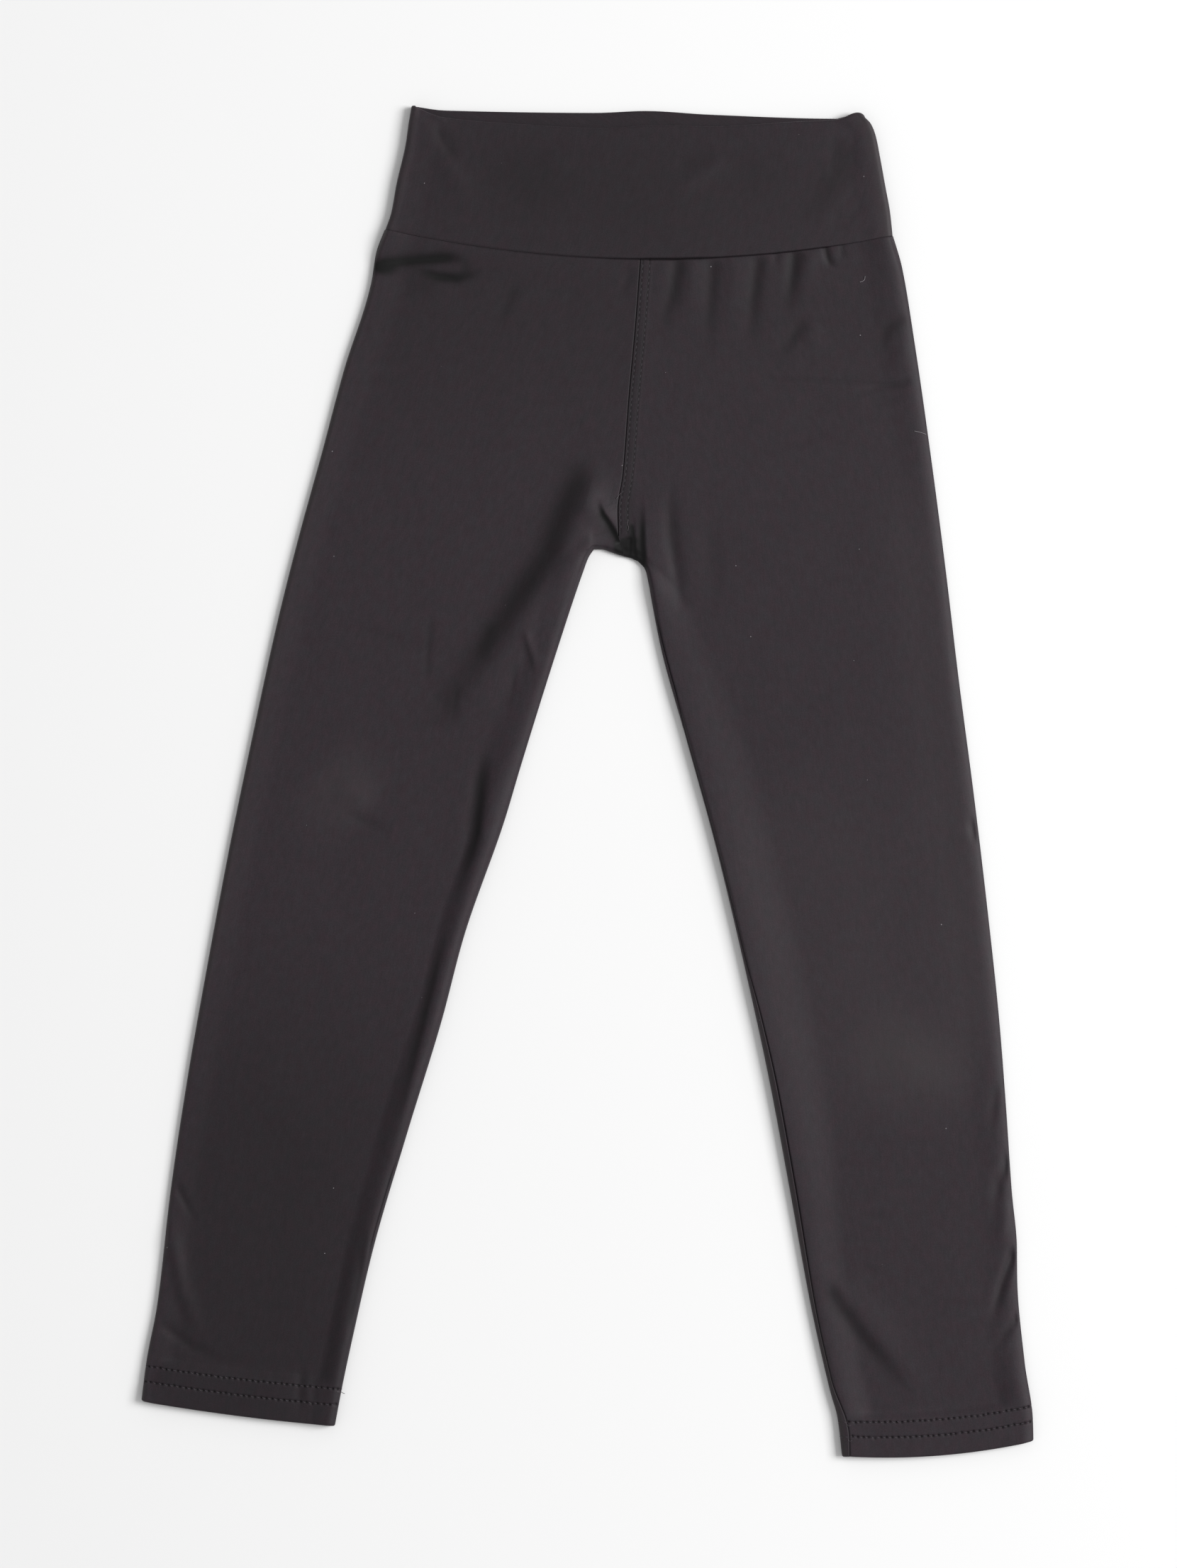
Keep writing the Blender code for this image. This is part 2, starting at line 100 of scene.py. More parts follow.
INSEAM_EDGE = {
    "leg_right": [
        (206.4, 3.0), (210.0, 0.6), (217.1, -2.1), (254.1, -14.4), (306.9, -30.9), (333.3, -38.8),
        (386.1, -57.3), (425.7, -67.8), (478.5, -84.0), (531.3, -99.5), (570.9, -108.7), (597.3, -114.3),
        (614.0, -117.4),
    ],
    "leg_left": [
        (212.0, 23.6), (215.6, 26.8), (220.1, 28.0), (232.3, 30.2), (254.1, 34.6), (293.7, 45.7),
        (346.5, 60.2), (399.3, 72.8), (452.1, 84.3), (504.9, 94.2), (557.7, 103.8), (597.3, 112.7),
        (610.5, 116.3), (628.3, 118.4),
    ],
}

# Lines across a leg, from its folded outer side to the seam on its inner side: how far down each end
# lies, and how far the line's middle hangs below them. The first ones follow the waist seam's curve,
# down to SEAM_FOLLOW below it.
SEAM_FOLLOW = 45.0
Line = namedtuple("Line", "outer front back front_sag back_sag", defaults=(0.0, 0.0))
RISE_LINES = {
    "leg_right": [
        Line(57.8, 71.6, 71.6),
        Line(78.0, 88.0, 88.0),
        Line(108.9, 115.0, 118.0),
        Line(148.5, 152.0, 158.0, 0.0, -1.0),
        Line(188.1, 190.0, 198.5, 0.0, -8.0),
        Line(198.5, 200.3, 208.65, 0.0, -16.0),
    ],
    "leg_left": [
        Line(60.7, 71.6, 71.6),
        Line(78.0, 88.0, 88.0),
        Line(108.9, 115.0, 118.0),
        Line(148.5, 152.0, 158.0),
        Line(188.1, 190.0, 198.5),
        Line(200.0, 200.3, 208.65),
    ],
}
TUBE_LINES = {
    "leg_right": [
        Line(206.5, 206.4, 206.4),
        Line(267.3, 271.5, 271.5),
        Line(406.0, 412.0, 412.0),
        Line(544.5, 553.5, 553.5, 0.5, 0.5),
        Line(602.4, 614.0, 614.0, 1.0, 1.0),
    ],
    "leg_left": [
        Line(209.5, 212.0, 212.0),
        Line(267.3, 271.5, 271.5),
        Line(404.0, 412.5, 412.5),
        Line(544.5, 553.0, 553.0, 1.0, 1.0),
        Line(621.0, 628.3, 628.3, 3.0, 3.0),
    ],
}
# The sides of a leg, down its length: the height of the fold's outermost line, its crest, how far
# inside that line the crest lies, and the width over which the cloth sinks from it to its rest.
Side = namedtuple("Side", "down low crest shoulder sinks")
OUTER_SIDE = {
    "leg_right": [
        Side(57.8, 1.3, 4.2, 2.6, 12.0),
        Side(90.0, 0.9, 3.7, 2.6, 14.0),
        Side(200.0, 0.9, 3.5, 2.6, 12.0),
        Side(400.0, 0.9, 3.4, 2.6, 11.0),
        Side(500.0, 1.0, 3.4, 3.0, 11.0),
        Side(580.0, 1.4, 3.9, 3.0, 10.0),
        Side(602.4, 2.2, 4.8, 3.0, 10.0),
    ],
    "leg_left": [
        Side(60.7, 1.3, 4.1, 5.0, 12.0),
        Side(90.0, 1.0, 3.4, 6.6, 12.0),
        Side(200.0, 1.0, 3.1, 6.6, 10.0),
        Side(560.0, 1.2, 3.2, 6.6, 10.0),
        Side(600.0, 2.0, 4.4, 6.0, 10.0),
        Side(621.0, 2.2, 4.8, 6.0, 10.0),
    ],
}
INNER_SIDE = {
    "leg_right": [
        Side(204.0, 1.3, 3.3, 2.5, 6.0),
        Side(216.0, 1.3, 3.9, 4.5, 10.0),
        Side(254.0, 1.3, 3.9, 4.5, 10.0),
        Side(290.0, 1.3, 4.0, 6.0, 13.0),
        Side(320.0, 1.3, 5.2, 8.0, 11.0),
        Side(350.0, 1.3, 5.4, 5.5, 8.0),
        Side(400.0, 1.3, 5.2, 5.0, 8.0),
        Side(460.0, 1.3, 5.2, 5.0, 9.0),
        Side(500.0, 1.3, 4.6, 4.6, 9.0),
        Side(550.0, 1.3, 5.4, 4.4, 8.0),
        Side(590.0, 1.8, 5.2, 4.0, 8.0),
        Side(614.0, 2.2, 5.2, 4.0, 8.0),
    ],
    "leg_left": [
        Side(206.0, 1.2, 2.3, 2.0, 3.0),
        Side(212.0, 1.3, 2.6, 2.0, 3.0),
        Side(224.0, 2.0, 4.2, 2.5, 10.0),
        Side(240.0, 2.0, 4.1, 2.5, 18.0),
        Side(300.0, 2.0, 4.9, 2.2, 26.0),
        Side(400.0, 2.0, 5.1, 2.5, 26.0),
        Side(480.0, 2.0, 5.0, 4.0, 22.0),
        Side(540.0, 1.8, 4.5, 4.0, 16.0),
        Side(600.0, 2.0, 4.7, 4.0, 14.0),
        Side(628.3, 2.2, 5.0, 4.5, 12.0),
    ],
}
# How far inside a leg's inner side its inseam lies, and how deep its groove is.
Inseam = namedtuple("Inseam", "down inside groove")
INSEAM = {
    "leg_right": [
        Inseam(206.4, 0.8, 0.0), Inseam(225.0, 0.6, 0.0), Inseam(480.0, 0.6, 0.0), Inseam(500.0, 1.6, 0.4),
        Inseam(525.0, 1.6, 0.4), Inseam(545.0, 0.6, 0.0), Inseam(614.0, 0.6, 0.0),
    ],
    "leg_left": [
        Inseam(212.0, 0.6, 0.0), Inseam(232.0, 0.8, 0.0), Inseam(245.0, 1.2, 0.6), Inseam(270.0, 1.4, 0.6),
        Inseam(292.0, 0.7, 0.4), Inseam(395.0, 1.2, 0.5), Inseam(425.0, 2.4, 0.6), Inseam(460.0, 3.0, 0.7),
        Inseam(500.0, 2.8, 0.7), Inseam(540.0, 2.3, 0.65), Inseam(570.0, 1.9, 0.6), Inseam(592.0, 1.9, 0.55),
        Inseam(604.0, 2.9, 0.5), Inseam(617.0, 4.2, 0.4), Inseam(628.3, 3.4, 0.4),
    ],
}

# Soft folds, gathers and creases. A negative height is a trough. `right` is the half-width to the
# right of a path that runs down and above one that runs to the right, `left` the other side's, and
# the fades are the shares of its length over which it rises and dies away.
Fold = namedtuple("Fold", "path height left right fade_in fade_out")
CROTCH_CREASE = Fold([(12.0, 205.6), (15.2, 203.2), (18.0, 201.8), (21.0, 202.0)], -0.5, 6.0, 1.0, 0.4, 0.1)
FOLDS = {
    "leg_right": [
        # Drag fold from the crotch across the thigh.
        Fold(
            [(9.0, 165.5), (4.6, 173.5), (-1.8, 186.0), (-7.0, 199.0), (-11.2, 211.0), (-18.5, 221.3),
             (-28.1, 235.0), (-37.0, 249.0), (-70.0, 300.0)],
            3.2, 8.0, 12.0, 0.16, 0.6,
        ),
        # Small puffs and creases of the crotch.
        Fold([(3.6, 171.0), (0.6, 178.0), (-1.4, 187.0), (-2.0, 195.0)], 0.45, 2.2, 6.0, 0.4, 0.4),
        Fold([(3.0, 182.0), (4.5, 192.0), (6.5, 199.0)], 0.3, 4.0, 4.0, 0.4, 0.3),
        Fold(
            [(6.2, 181.5), (7.3, 186.7), (8.7, 189.6), (11.2, 193.1), (13.2, 196.2), (15.0, 199.5),
             (16.2, 202.6)],
            1.3, 1.5, 5.0, 0.45, 0.05,
        ),
        Fold([(0.2, 196.0), (1.0, 207.0)], 0.3, 5.0, 1.6, 0.6, 0.1),
        CROTCH_CREASE,
        # Creases on the inside of the thigh.
        Fold([(-30.6, 242.0), (-23.6, 263.0)], 0.6, 1.0, 3.0, 0.4, 0.3),
        Fold([(-32.8, 257.0), (-36.1, 281.0)], -0.15, 1.4, 1.2, 0.4, 0.4),
        Fold([(-72.2, 232.0), (-73.8, 252.0), (-74.8, 272.0)], -0.3, 1.8, 1.3, 0.4, 0.4),
        Fold([(-75.0, 271.0), (-68.0, 277.0), (-60.5, 282.0)], -0.25, 1.6, 1.6, 0.4, 0.4),
        Fold([(-60.6, 270.0), (-62.2, 288.0)], -0.3, 1.6, 1.2, 0.4, 0.4),
        Fold([(-124.0, 239.0), (-60.0, 256.5)], -0.25, 3.0, 3.0, 0.4, 0.4),
        # Knee: a puff beside the inner roll, and the diagonal crease below it.
        Fold([(-119.0, 314.0), (-99.0, 326.0)], 0.6, 7.0, 8.0, 0.4, 0.4),
        Fold([(-117.0, 326.5), (-91.0, 338.5)], -0.5, 2.0, 2.0, 0.4, 0.4),
        Fold([(-45.0, 296.0), (-49.0, 316.0), (-52.5, 342.0), (-60.0, 366.0)], -1.2, 4.2, 2.2, 0.4, 0.5),
        Fold([(-64.0, 380.0), (-69.0, 394.0), (-81.5, 445.0), (-92.0, 486.0)], -0.5, 3.0, 1.6, 0.3, 0.5),
        # Two short troughs at the hip, below the band, and the puffs round them.
        Fold([(-99.5, 74.2), (-80.0, 71.8), (-58.5, 70.8)], -0.7, 2.3, 2.6, 0.0, 0.16),
        Fold([(-92.0, 73.1), (-76.0, 71.6), (-59.5, 70.8)], -0.4, 2.0, 2.2, 0.7, 0.2),
        Fold([(-99.5, 77.0), (-86.0, 77.0)], -0.2, 1.5, 1.5, 0.0, 0.5),
        Fold(
            [(-83.0, 75.6), (-76.0, 77.8), (-69.0, 79.6), (-61.5, 80.4), (-54.0, 78.4), (-48.0, 75.4)],
            -0.9, 1.8, 1.8, 0.5, 0.5,
        ),
        Fold([(-32.0, 80.0), (-36.0, 90.0), (-43.0, 103.0)], -0.16, 2.6, 2.6, 0.3, 0.4),
        Fold([(-4.0, 82.0), (-11.0, 104.0)], -0.12, 4.0, 4.0, 0.3, 0.4),
        Fold([(21.0, 74.0), (14.0, 92.0)], -0.25, 2.6, 2.6, 0.3, 0.6),
        # Curl of the outer edge above the ankle, and its creases.
        Fold([(-192.0, 500.0), (-181.0, 520.5)], -0.6, 1.8, 1.4, 0.2, 0.6),
        Fold([(-196.0, 512.0), (-188.0, 552.0), (-178.0, 577.0)], 0.8, 3.0, 4.0, 0.3, 0.4),
        Fold([(-201.0, 564.0), (-184.0, 577.0), (-166.0, 584.0)], -0.7, 1.8, 1.8, 0.2, 0.5),
        # Pinches above the hem, beside the inseam.
        Fold([(-132.5, 584.0), (-134.0, 609.0)], -0.5, 2.6, 2.2, 0.4, 0.4),
        Fold([(-126.6, 588.0), (-127.4, 606.0)], -0.25, 2.0, 2.0, 0.4, 0.4),
        Fold([(-103.0, 516.0), (-106.5, 545.0), (-113.0, 575.0)], -0.8, 3.0, 2.2, 0.4, 0.3),
    ],
    "leg_left": [
        # The front's edge beside the crotch: a slit, a ridge, a deep fold and a broad one.
        Fold([(22.4, 188.0), (22.6, 196.0), (22.5, 204.0), (23.6, 212.0)], 0.4, 0.7, 3.4, 0.5, 0.1),
        Fold(
            [(26.8, 174.0), (27.2, 190.0), (27.4, 205.0), (28.4, 220.0), (32.0, 238.0), (40.0, 262.0)],
            1.4, 1.5, 11.0, 0.5, 0.75,
        ),
        CROTCH_CREASE,
        Fold([(38.0, 170.0), (39.0, 200.0), (45.0, 240.0)], -0.7, 3.0, 3.0, 0.4, 0.4),
        Fold([(57.5, 184.0), (57.0, 206.0), (60.0, 236.0)], -0.3, 4.6, 4.6, 0.4, 0.5),
        # Gathers under the band.
        Fold([(42.5, 70.0), (40.0, 86.0), (32.0, 108.0)], -0.8, 3.6, 3.2, 0.1, 0.8),
        Fold([(49.5, 70.0), (45.0, 108.0)], 0.3, 3.5, 4.0, 0.1, 0.8),
        Fold([(58.3, 69.0), (57.0, 95.0), (55.5, 124.0)], -0.55, 3.2, 3.0, 0.1, 0.8),
        Fold([(68.0, 69.0), (66.0, 112.0)], 0.3, 4.0, 4.0, 0.1, 0.8),
        Fold([(79.8, 68.5), (77.0, 90.0), (75.0, 118.0)], -0.7, 3.2, 3.0, 0.1, 0.8),
        Fold([(88.2, 67.5), (87.0, 76.0)], -0.4, 1.8, 1.6, 0.1, 0.6),
        Fold([(96.8, 66.5), (95.2, 80.0), (93.5, 100.0)], -0.9, 3.0, 2.8, 0.1, 0.8),
        Fold([(104.0, 67.0), (101.0, 92.0)], 0.4, 4.0, 4.0, 0.1, 0.8),
        Fold([(103.0, 96.0), (97.0, 105.0), (88.0, 118.0)], -0.35, 3.0, 2.4, 0.4, 0.5),
        Fold([(107.0, 99.0), (101.0, 112.0)], 0.3, 3.4, 4.0, 0.4, 0.4),
        Fold([(110.6, 65.5), (111.6, 71.0), (114.8, 76.5)], -0.7, 1.4, 1.2, 0.05, 0.4),
        Fold([(118.6, 64.5), (118.0, 73.0)], -0.35, 1.4, 1.2, 0.05, 0.5),
        # Creases across the hip and thigh.
        Fold([(150.0, 97.0), (141.0, 101.0), (138.0, 107.0), (138.0, 118.0)], -0.35, 2.8, 2.4, 0.25, 0.6),
        Fold([(149.0, 108.0), (141.0, 128.0)], 0.25, 3.6, 3.6, 0.4, 0.5),
        Fold(
            [(72.0, 126.2), (88.0, 127.4), (104.0, 127.6), (126.0, 129.0), (152.0, 130.6)],
            -0.35, 0.8, 0.7, 0.2, 0.1,
        ),
        Fold([(151.0, 128.0), (134.0, 131.5), (117.0, 137.5)], -0.35, 1.6, 1.4, 0.1, 0.6),
        Fold([(118.0, 150.0), (96.0, 158.0), (72.0, 162.0)], -0.25, 2.4, 2.0, 0.3, 0.5),
        Fold([(150.0, 134.5), (122.0, 142.0)], -0.2, 2.0, 2.0, 0.3, 0.5),
        Fold([(166.0, 190.0), (171.0, 240.0), (176.0, 296.0)], -0.5, 2.4, 2.4, 0.4, 0.4),
        Fold([(178.0, 330.0), (180.5, 344.0)], -0.6, 2.2, 1.8, 0.4, 0.4),
        Fold([(132.0, 446.0), (180.0, 460.0)], 0.5, 10.0, 10.0, 0.4, 0.4),
        Fold([(125.0, 516.0), (143.0, 516.4)], -0.3, 1.2, 1.2, 0.4, 0.4),
        Fold([(125.0, 541.0), (135.5, 541.4)], -0.3, 1.2, 1.2, 0.4, 0.4),
        # Fold that leaves the inseam above the ankle and crosses to the hem.
        Fold(
            [(112.5, 543.0), (120.5, 555.0), (131.0, 568.5), (143.0, 583.5), (155.0, 599.0), (161.0, 608.0)],
            0.9, 4.6, 9.0, 0.15, 0.65,
        ),
        Fold(
            [(110.5, 547.5), (118.0, 559.5), (127.0, 571.5), (137.5, 584.0), (147.5, 596.0), (154.0, 604.0)],
            -0.4, 4.0, 3.4, 0.1, 0.55,
        ),
        # Puckers beside the outer edge of the calf and ankle.
        Fold([(190.5, 452.0), (187.5, 478.0)], -0.45, 3.0, 2.0, 0.4, 0.4),
        Fold([(197.5, 487.0), (191.0, 501.0), (188.5, 520.0)], -0.8, 2.8, 2.2, 0.1, 0.6),
        Fold([(199.0, 530.0), (193.0, 548.0), (187.0, 568.0)], -1.3, 2.2, 2.0, 0.15, 0.5),
        Fold([(201.0, 562.0), (188.0, 580.0)], -0.8, 1.5, 1.3, 0.1, 0.5),
        Fold([(196.0, 508.0), (191.0, 532.0)], 0.5, 3.0, 3.0, 0.4, 0.4),
    ],
}

# Painted light and shade: patches that darken (negative) or lighten the cloth's colour, as painted
# shade in the valleys of folds and deep creases, painted light on raised edges, and darker or lighter
# large areas. Each patch is laid out like a fold.
CROTCH_SHADE = Fold([(14.6, 203.0), (18.0, 203.2), (21.5, 202.6)], -0.8, 2.0, 2.0, 0.2, 0.0)
PAINTED_LIGHT_AND_SHADE = {
    "leg_right": [
        # Painted shade in the valley of the drag fold, and in the deep creases of the crotch and hip.
        Fold(
            [(3.0, 161.0), (-2.0, 170.0), (-7.6, 182.0), (-13.6, 196.0), (-17.4, 207.6), (-24.0, 217.8),
             (-34.0, 231.6), (-44.0, 247.0), (-84.0, 301.0)],
            -0.6, 6.5, 6.0, 0.1, 0.6,
        ),
        Fold(
            [(5.3, 184.0), (7.5, 190.2), (10.0, 193.7), (13.9, 200.1), (15.2, 203.2)],
            -1.05, 2.0, 0.9, 0.3, 0.0,
        ),
        Fold([(4.0, 188.0), (8.5, 196.0), (13.0, 201.5)], -0.25, 3.0, 1.5, 0.3, 0.1),
        Fold([(1.6, 200.4), (4.5, 199.6), (9.0, 198.0)], -0.25, 0.9, 0.5, 0.3, 0.3),
        Fold([(13.1, 175.0), (11.6, 182.0), (10.4, 187.0)], -0.25, 0.9, 0.9, 0.3, 0.3),
        Fold([(11.0, 206.6), (15.5, 205.8), (19.0, 206.0)], -1.1, 5.0, 3.6, 0.35, 0.0),
        CROTCH_SHADE,
        Fold([(-106.0, 75.4), (-86.0, 75.4)], -0.7, 3.0, 3.0, 0.0, 0.5),
        Fold([(-112.0, 75.2), (-84.0, 72.6), (-59.0, 70.6)], -0.9, 2.2, 2.6, 0.1, 0.16),
        Fold([(-62.0, 70.6), (-57.0, 72.6), (-55.0, 78.0)], -0.3, 2.4, 2.4, 0.2, 0.2),
        Fold([(-112.0, 76.4), (-84.0, 77.2)], -0.45, 2.2, 2.2, 0.1, 0.4),
        Fold(
            [(-85.0, 75.6), (-76.0, 78.0), (-69.0, 79.8), (-61.0, 80.2), (-53.0, 78.2), (-46.0, 74.8)],
            -0.72, 2.4, 2.2, 0.4, 0.45,
        ),
        Fold([(-32.0, 80.0), (-37.0, 92.0), (-43.0, 106.0)], -0.18, 3.0, 3.0, 0.3, 0.4),
        Fold([(-90.0, 82.0), (-66.0, 86.0)], -0.16, 5.0, 6.0, 0.4, 0.4),
        # Large areas, darker on the hip and calf and lighter at the knee, and painted shade in two creases
        # inside the thigh.
        Fold([(-95.0, 90.0), (10.0, 92.0)], -0.2, 60.0, 60.0, 0.0, 0.0),
        Fold([(-115.0, 360.0), (-150.0, 500.0), (-160.0, 640.0)], -0.38, 90.0, 70.0, 0.5, 0.0),
        Fold([(-130.0, 304.0), (-96.0, 332.0)], 0.3, 20.0, 18.0, 0.4, 0.4),
        Fold([(-30.8, 242.0), (-24.0, 264.0)], -0.4, 1.1, 0.7, 0.3, 0.2),
        Fold([(-33.0, 254.0), (-36.5, 284.0)], -0.2, 1.6, 1.2, 0.4, 0.4),
        # Painted shade in spots where the drag fold dies away.
        Fold([(-43.5, 238.0), (-47.0, 250.0), (-50.5, 262.0)], -0.3, 3.6, 3.4, 0.3, 0.4),
        Fold([(-58.0, 266.0), (-62.5, 278.0), (-64.0, 292.0)], -0.26, 4.6, 3.2, 0.3, 0.4),
        # Painted shade: the dark line beside the inner roll, from the knee down.
        Fold(
            [(-46.5, 298.0), (-49.2, 314.0), (-51.1, 338.0), (-59.4, 364.0), (-62.0, 372.0)],
            -0.66, 2.8, 1.6, 0.2, 0.4,
        ),
        Fold([(-64.0, 380.0), (-68.5, 393.0), (-81.3, 445.0), (-92.0, 486.0)], -0.4, 2.4, 1.4, 0.2, 0.5),
        Fold([(-72.2, 232.0), (-73.8, 252.0), (-74.8, 272.0)], -0.14, 2.4, 1.6, 0.4, 0.4),
    ],
    "leg_left": [
        # Painted shade in the corner of the crotch, and in the slit and deep fold beside it.
        Fold(
            [(11.0, 206.6), (15.5, 205.8), (19.0, 206.0), (21.5, 208.6), (26.0, 213.0)],
            -1.1, 5.0, 3.6, 0.35, 0.3,
        ),
        CROTCH_SHADE,
        Fold([(20.6, 193.6), (21.1, 198.0), (21.2, 204.0), (22.4, 211.0)], -1.1, 1.5, 0.8, 0.16, 0.0),
        Fold([(24.4, 184.0), (25.6, 193.0), (25.8, 204.0), (26.6, 218.0)], -1.1, 2.3, 1.3, 0.5, 0.1),
        Fold([(37.5, 180.0), (42.5, 218.0)], -0.22, 3.5, 3.5, 0.4, 0.4),
        # Painted shade on the strip beside the centre-front seam, and in the gathers.
        Fold([(26.4, 84.0), (22.0, 130.0), (19.5, 170.0), (18.3, 200.0)], -0.22, 2.6, 2.6, 0.3, 0.05),
        Fold([(19.5, 172.0), (18.6, 186.0), (18.0, 201.0)], -0.2, 2.6, 2.6, 0.3, 0.0),
        Fold([(42.5, 70.0), (39.5, 88.0), (32.0, 112.0)], -0.3, 4.0, 4.0, 0.1, 0.7),
        Fold([(58.5, 70.0), (57.0, 95.0), (55.5, 124.0)], -0.22, 3.4, 3.4, 0.1, 0.7),
        Fold([(79.8, 69.0), (77.5, 90.0), (75.0, 118.0)], -0.25, 4.0, 4.0, 0.1, 0.7),
        Fold([(96.8, 67.0), (95.0, 80.0), (93.0, 104.0)], -0.32, 4.0, 4.0, 0.1, 0.6),
        Fold([(111.0, 66.0), (112.4, 72.0), (114.5, 76.0)], -0.5, 1.3, 1.1, 0.1, 0.4),
        Fold([(103.0, 96.0), (93.0, 112.0), (85.0, 124.0)], -0.22, 4.0, 4.0, 0.3, 0.5),
        Fold([(150.0, 100.0), (139.0, 104.0), (137.0, 118.0)], -0.25, 4.0, 4.0, 0.1, 0.5),
        # Large areas, darker on the thigh and lighter on the shin and calf, painted light along the outer
        # side, and painted shade in the ankle's fold.
        Fold([(30.0, 92.0), (140.0, 88.0)], -0.1, 50.0, 50.0, 0.0, 0.0),
        Fold([(80.0, 290.0), (115.0, 380.0), (145.0, 500.0)], 0.16, 70.0, 60.0, 0.3, 0.4),
        Fold([(112.0, 436.0), (150.0, 444.0), (186.0, 458.0)], 0.4, 20.0, 20.0, 0.4, 0.4),
        Fold(
            [(148.0, 150.0), (158.0, 230.0), (168.0, 300.0), (176.0, 365.0), (182.0, 430.0), (186.0, 490.0)],
            0.2, 16.0, 10.0, 0.2, 0.3,
        ),
        Fold(
            [(110.5, 547.0), (118.0, 559.0), (127.0, 571.0), (137.5, 583.5), (147.5, 595.5), (155.0, 604.5)],
            -0.3, 4.0, 3.4, 0.1, 0.5,
        ),
        # The raised edge beside the inseam catches the light.
        Fold(
            [(74.0, 400.0), (85.4, 452.1), (95.2, 504.9), (104.8, 557.7), (113.7, 597.3), (117.6, 610.5),
             (119.6, 628.3)],
            0.7, 1.2, 1.2, 0.2, 0.0,
        ),
    ],
}

# Painted light along a leg's outer fold, as (how much, over what width).
PAINTED_RIM_LIGHT = {"leg_right": ((0.65, 2.4), (0.15, 8.0)), "leg_left": ()}

# Mesh steps. The columns lie closest beside the inner seam and towards the folded sides: a strip
# SHOULDER wide on the front, and UNDER_FOLD on the underside. CLOSING_COLUMNS go round the inner fold.
BESIDE_SEAM = (0.0, 0.12, 0.25, 0.42, 0.65, 0.95, 1.3)
OFF_SEAM = 1.7
NEAR_SEAM = np.concatenate((BESIDE_SEAM, np.arange(OFF_SEAM, 6.0, 0.4), np.arange(6.1, 15.0, 0.55)))
MIDDLE_COLUMNS = 76
SHOULDER, SHOULDER_COLUMNS = 7.0, 16
UNDER_FOLD, UNDER_COLUMNS = 1.2, 4
CLOSING_COLUMNS = 22
BACK_COLUMNS = 24
# The rows lie closest beside the waist seam, for some way above and below the crotch, and in a zone
# above the hem's edge, whose needle rows need it.
RISE_ROWS = 110
ABOVE_CROTCH, ABOVE_CROTCH_ROWS = 24.0, 44
CROTCH_ROWS = 24
BELOW_CROTCH, BELOW_CROTCH_ROWS = 30.0, 34
TUBE_ROWS = 175
HEM_ZONE, HEM_ZONE_ROWS = 21.5, 56
TURN_ROWS = 6
INSIDE_ROWS = 9


def eased(table, place):
    """Values at `place` on the monotone curve through a table's (place, value) rows."""
    places, values = np.array(table, float).T
    slopes = np.diff(values) / np.diff(places)
    before, after = slopes[:-1], slopes[1:]
    turns = before * after <= 0
    inner = np.where(turns, 0, 2 * before * after / np.where(turns, 1, before + after))
    tangents = np.concatenate((slopes[:1], inner, slopes[-1:]))
    place = np.clip(place, places[0], places[-1])
    k = np.clip(np.searchsorted(places, place, side="right") - 1, 0, len(slopes) - 1)
    span = places[k + 1] - places[k]
    t = (place - places[k]) / span
    start = values[k] * (1 + 2 * t) * (1 - t) ** 2 + tangents[k] * span * t * (1 - t) ** 2
    end = values[k + 1] * t * t * (3 - 2 * t) - tangents[k + 1] * span * t * t * (1 - t)
    return start + end


def smooth_step(share):
    """From 0 to 1 with a level start and end."""
    share = np.clip(share, 0, 1)
    return share * share * (3 - 2 * share)


def fall_off(distance, width):
    """1 at the edge of a piece, sinking smoothly to 0 at `width` from it."""
    return 1 - smooth_step(distance / width)


def hump(share):
    """0 at both ends of a line and 1 in its middle."""
    return 4 * share * (1 - share)


def fade(share, length):
    """Rise of a fold from its end; a fold with no fade is cut off by a seam."""
    return smooth_step(share / length) if length else 1.0


def bell(distance, width):
    """1 on a line, dying away smoothly on both sides of it."""
    return np.exp(-((distance / width) ** 2))


def fold_height(fold, across, down):
    """Height of one fold at each place: its nearest point on the path gives its side and its fade."""
    points = np.array(fold.path)
    runs = np.diff(points, axis=0)
    lengths = np.hypot(*runs.T)
    starts = np.cumsum(lengths) - lengths
    nearest = np.full(across.shape, np.inf)
    side, share = np.zeros(across.shape), np.zeros(across.shape)
    for point, run, length, start in zip(points, runs, lengths, starts):
        from_across, from_down = across - point[0], down - point[1]
        along = (from_across * run[0] + from_down * run[1]) / length
        held = np.clip(along, 0, length) / length
        off = np.hypot(from_across - run[0] * held, from_down - run[1] * held)
        nearer = off < nearest
        nearest = np.where(nearer, off, nearest)
        side = np.where(nearer, np.copysign(off, from_across * run[1] - from_down * run[0]), side)
        share = np.where(nearer, (start + along) / lengths.sum(), share)
    width = np.where(side < 0, fold.left, fold.right)
    along = fade(share, fold.fade_in) * fade(1 - share, fold.fade_out)
    return fold.height * bell(side, width) * along


def relief(folds, across, down):
    """Height of all the folds of a list together."""
    return sum(fold_height(fold, across, down) for fold in folds)


Ripple = namedtuple("Ripple", "size depth seed")
LEG_RIPPLES = (Ripple(26.0, 0.2, 3.0), Ripple(11.0, 0.04, 8.0))


def rippled(ripples, across, down):
    """Faint unevenness of laid cloth: hollows and swells of a few sizes."""
    height = 0
    for size, depth, seed in ripples:
        flat = zip(across.ravel() / size, down.ravel() / size)
        values = [noise.noise(Vector((a, d, seed))) for a, d in flat]
        height += depth * np.array(values).reshape(across.shape)
    return height


def seam_down(across):
    """How far down the waist seam lies."""
    share = (across - SEAM_LEFT[0]) / (SEAM_RIGHT[0] - SEAM_LEFT[0])
    return SEAM_LEFT[1] + (SEAM_RIGHT[1] - SEAM_LEFT[1]) * share + SEAM_SAG * hump(share)


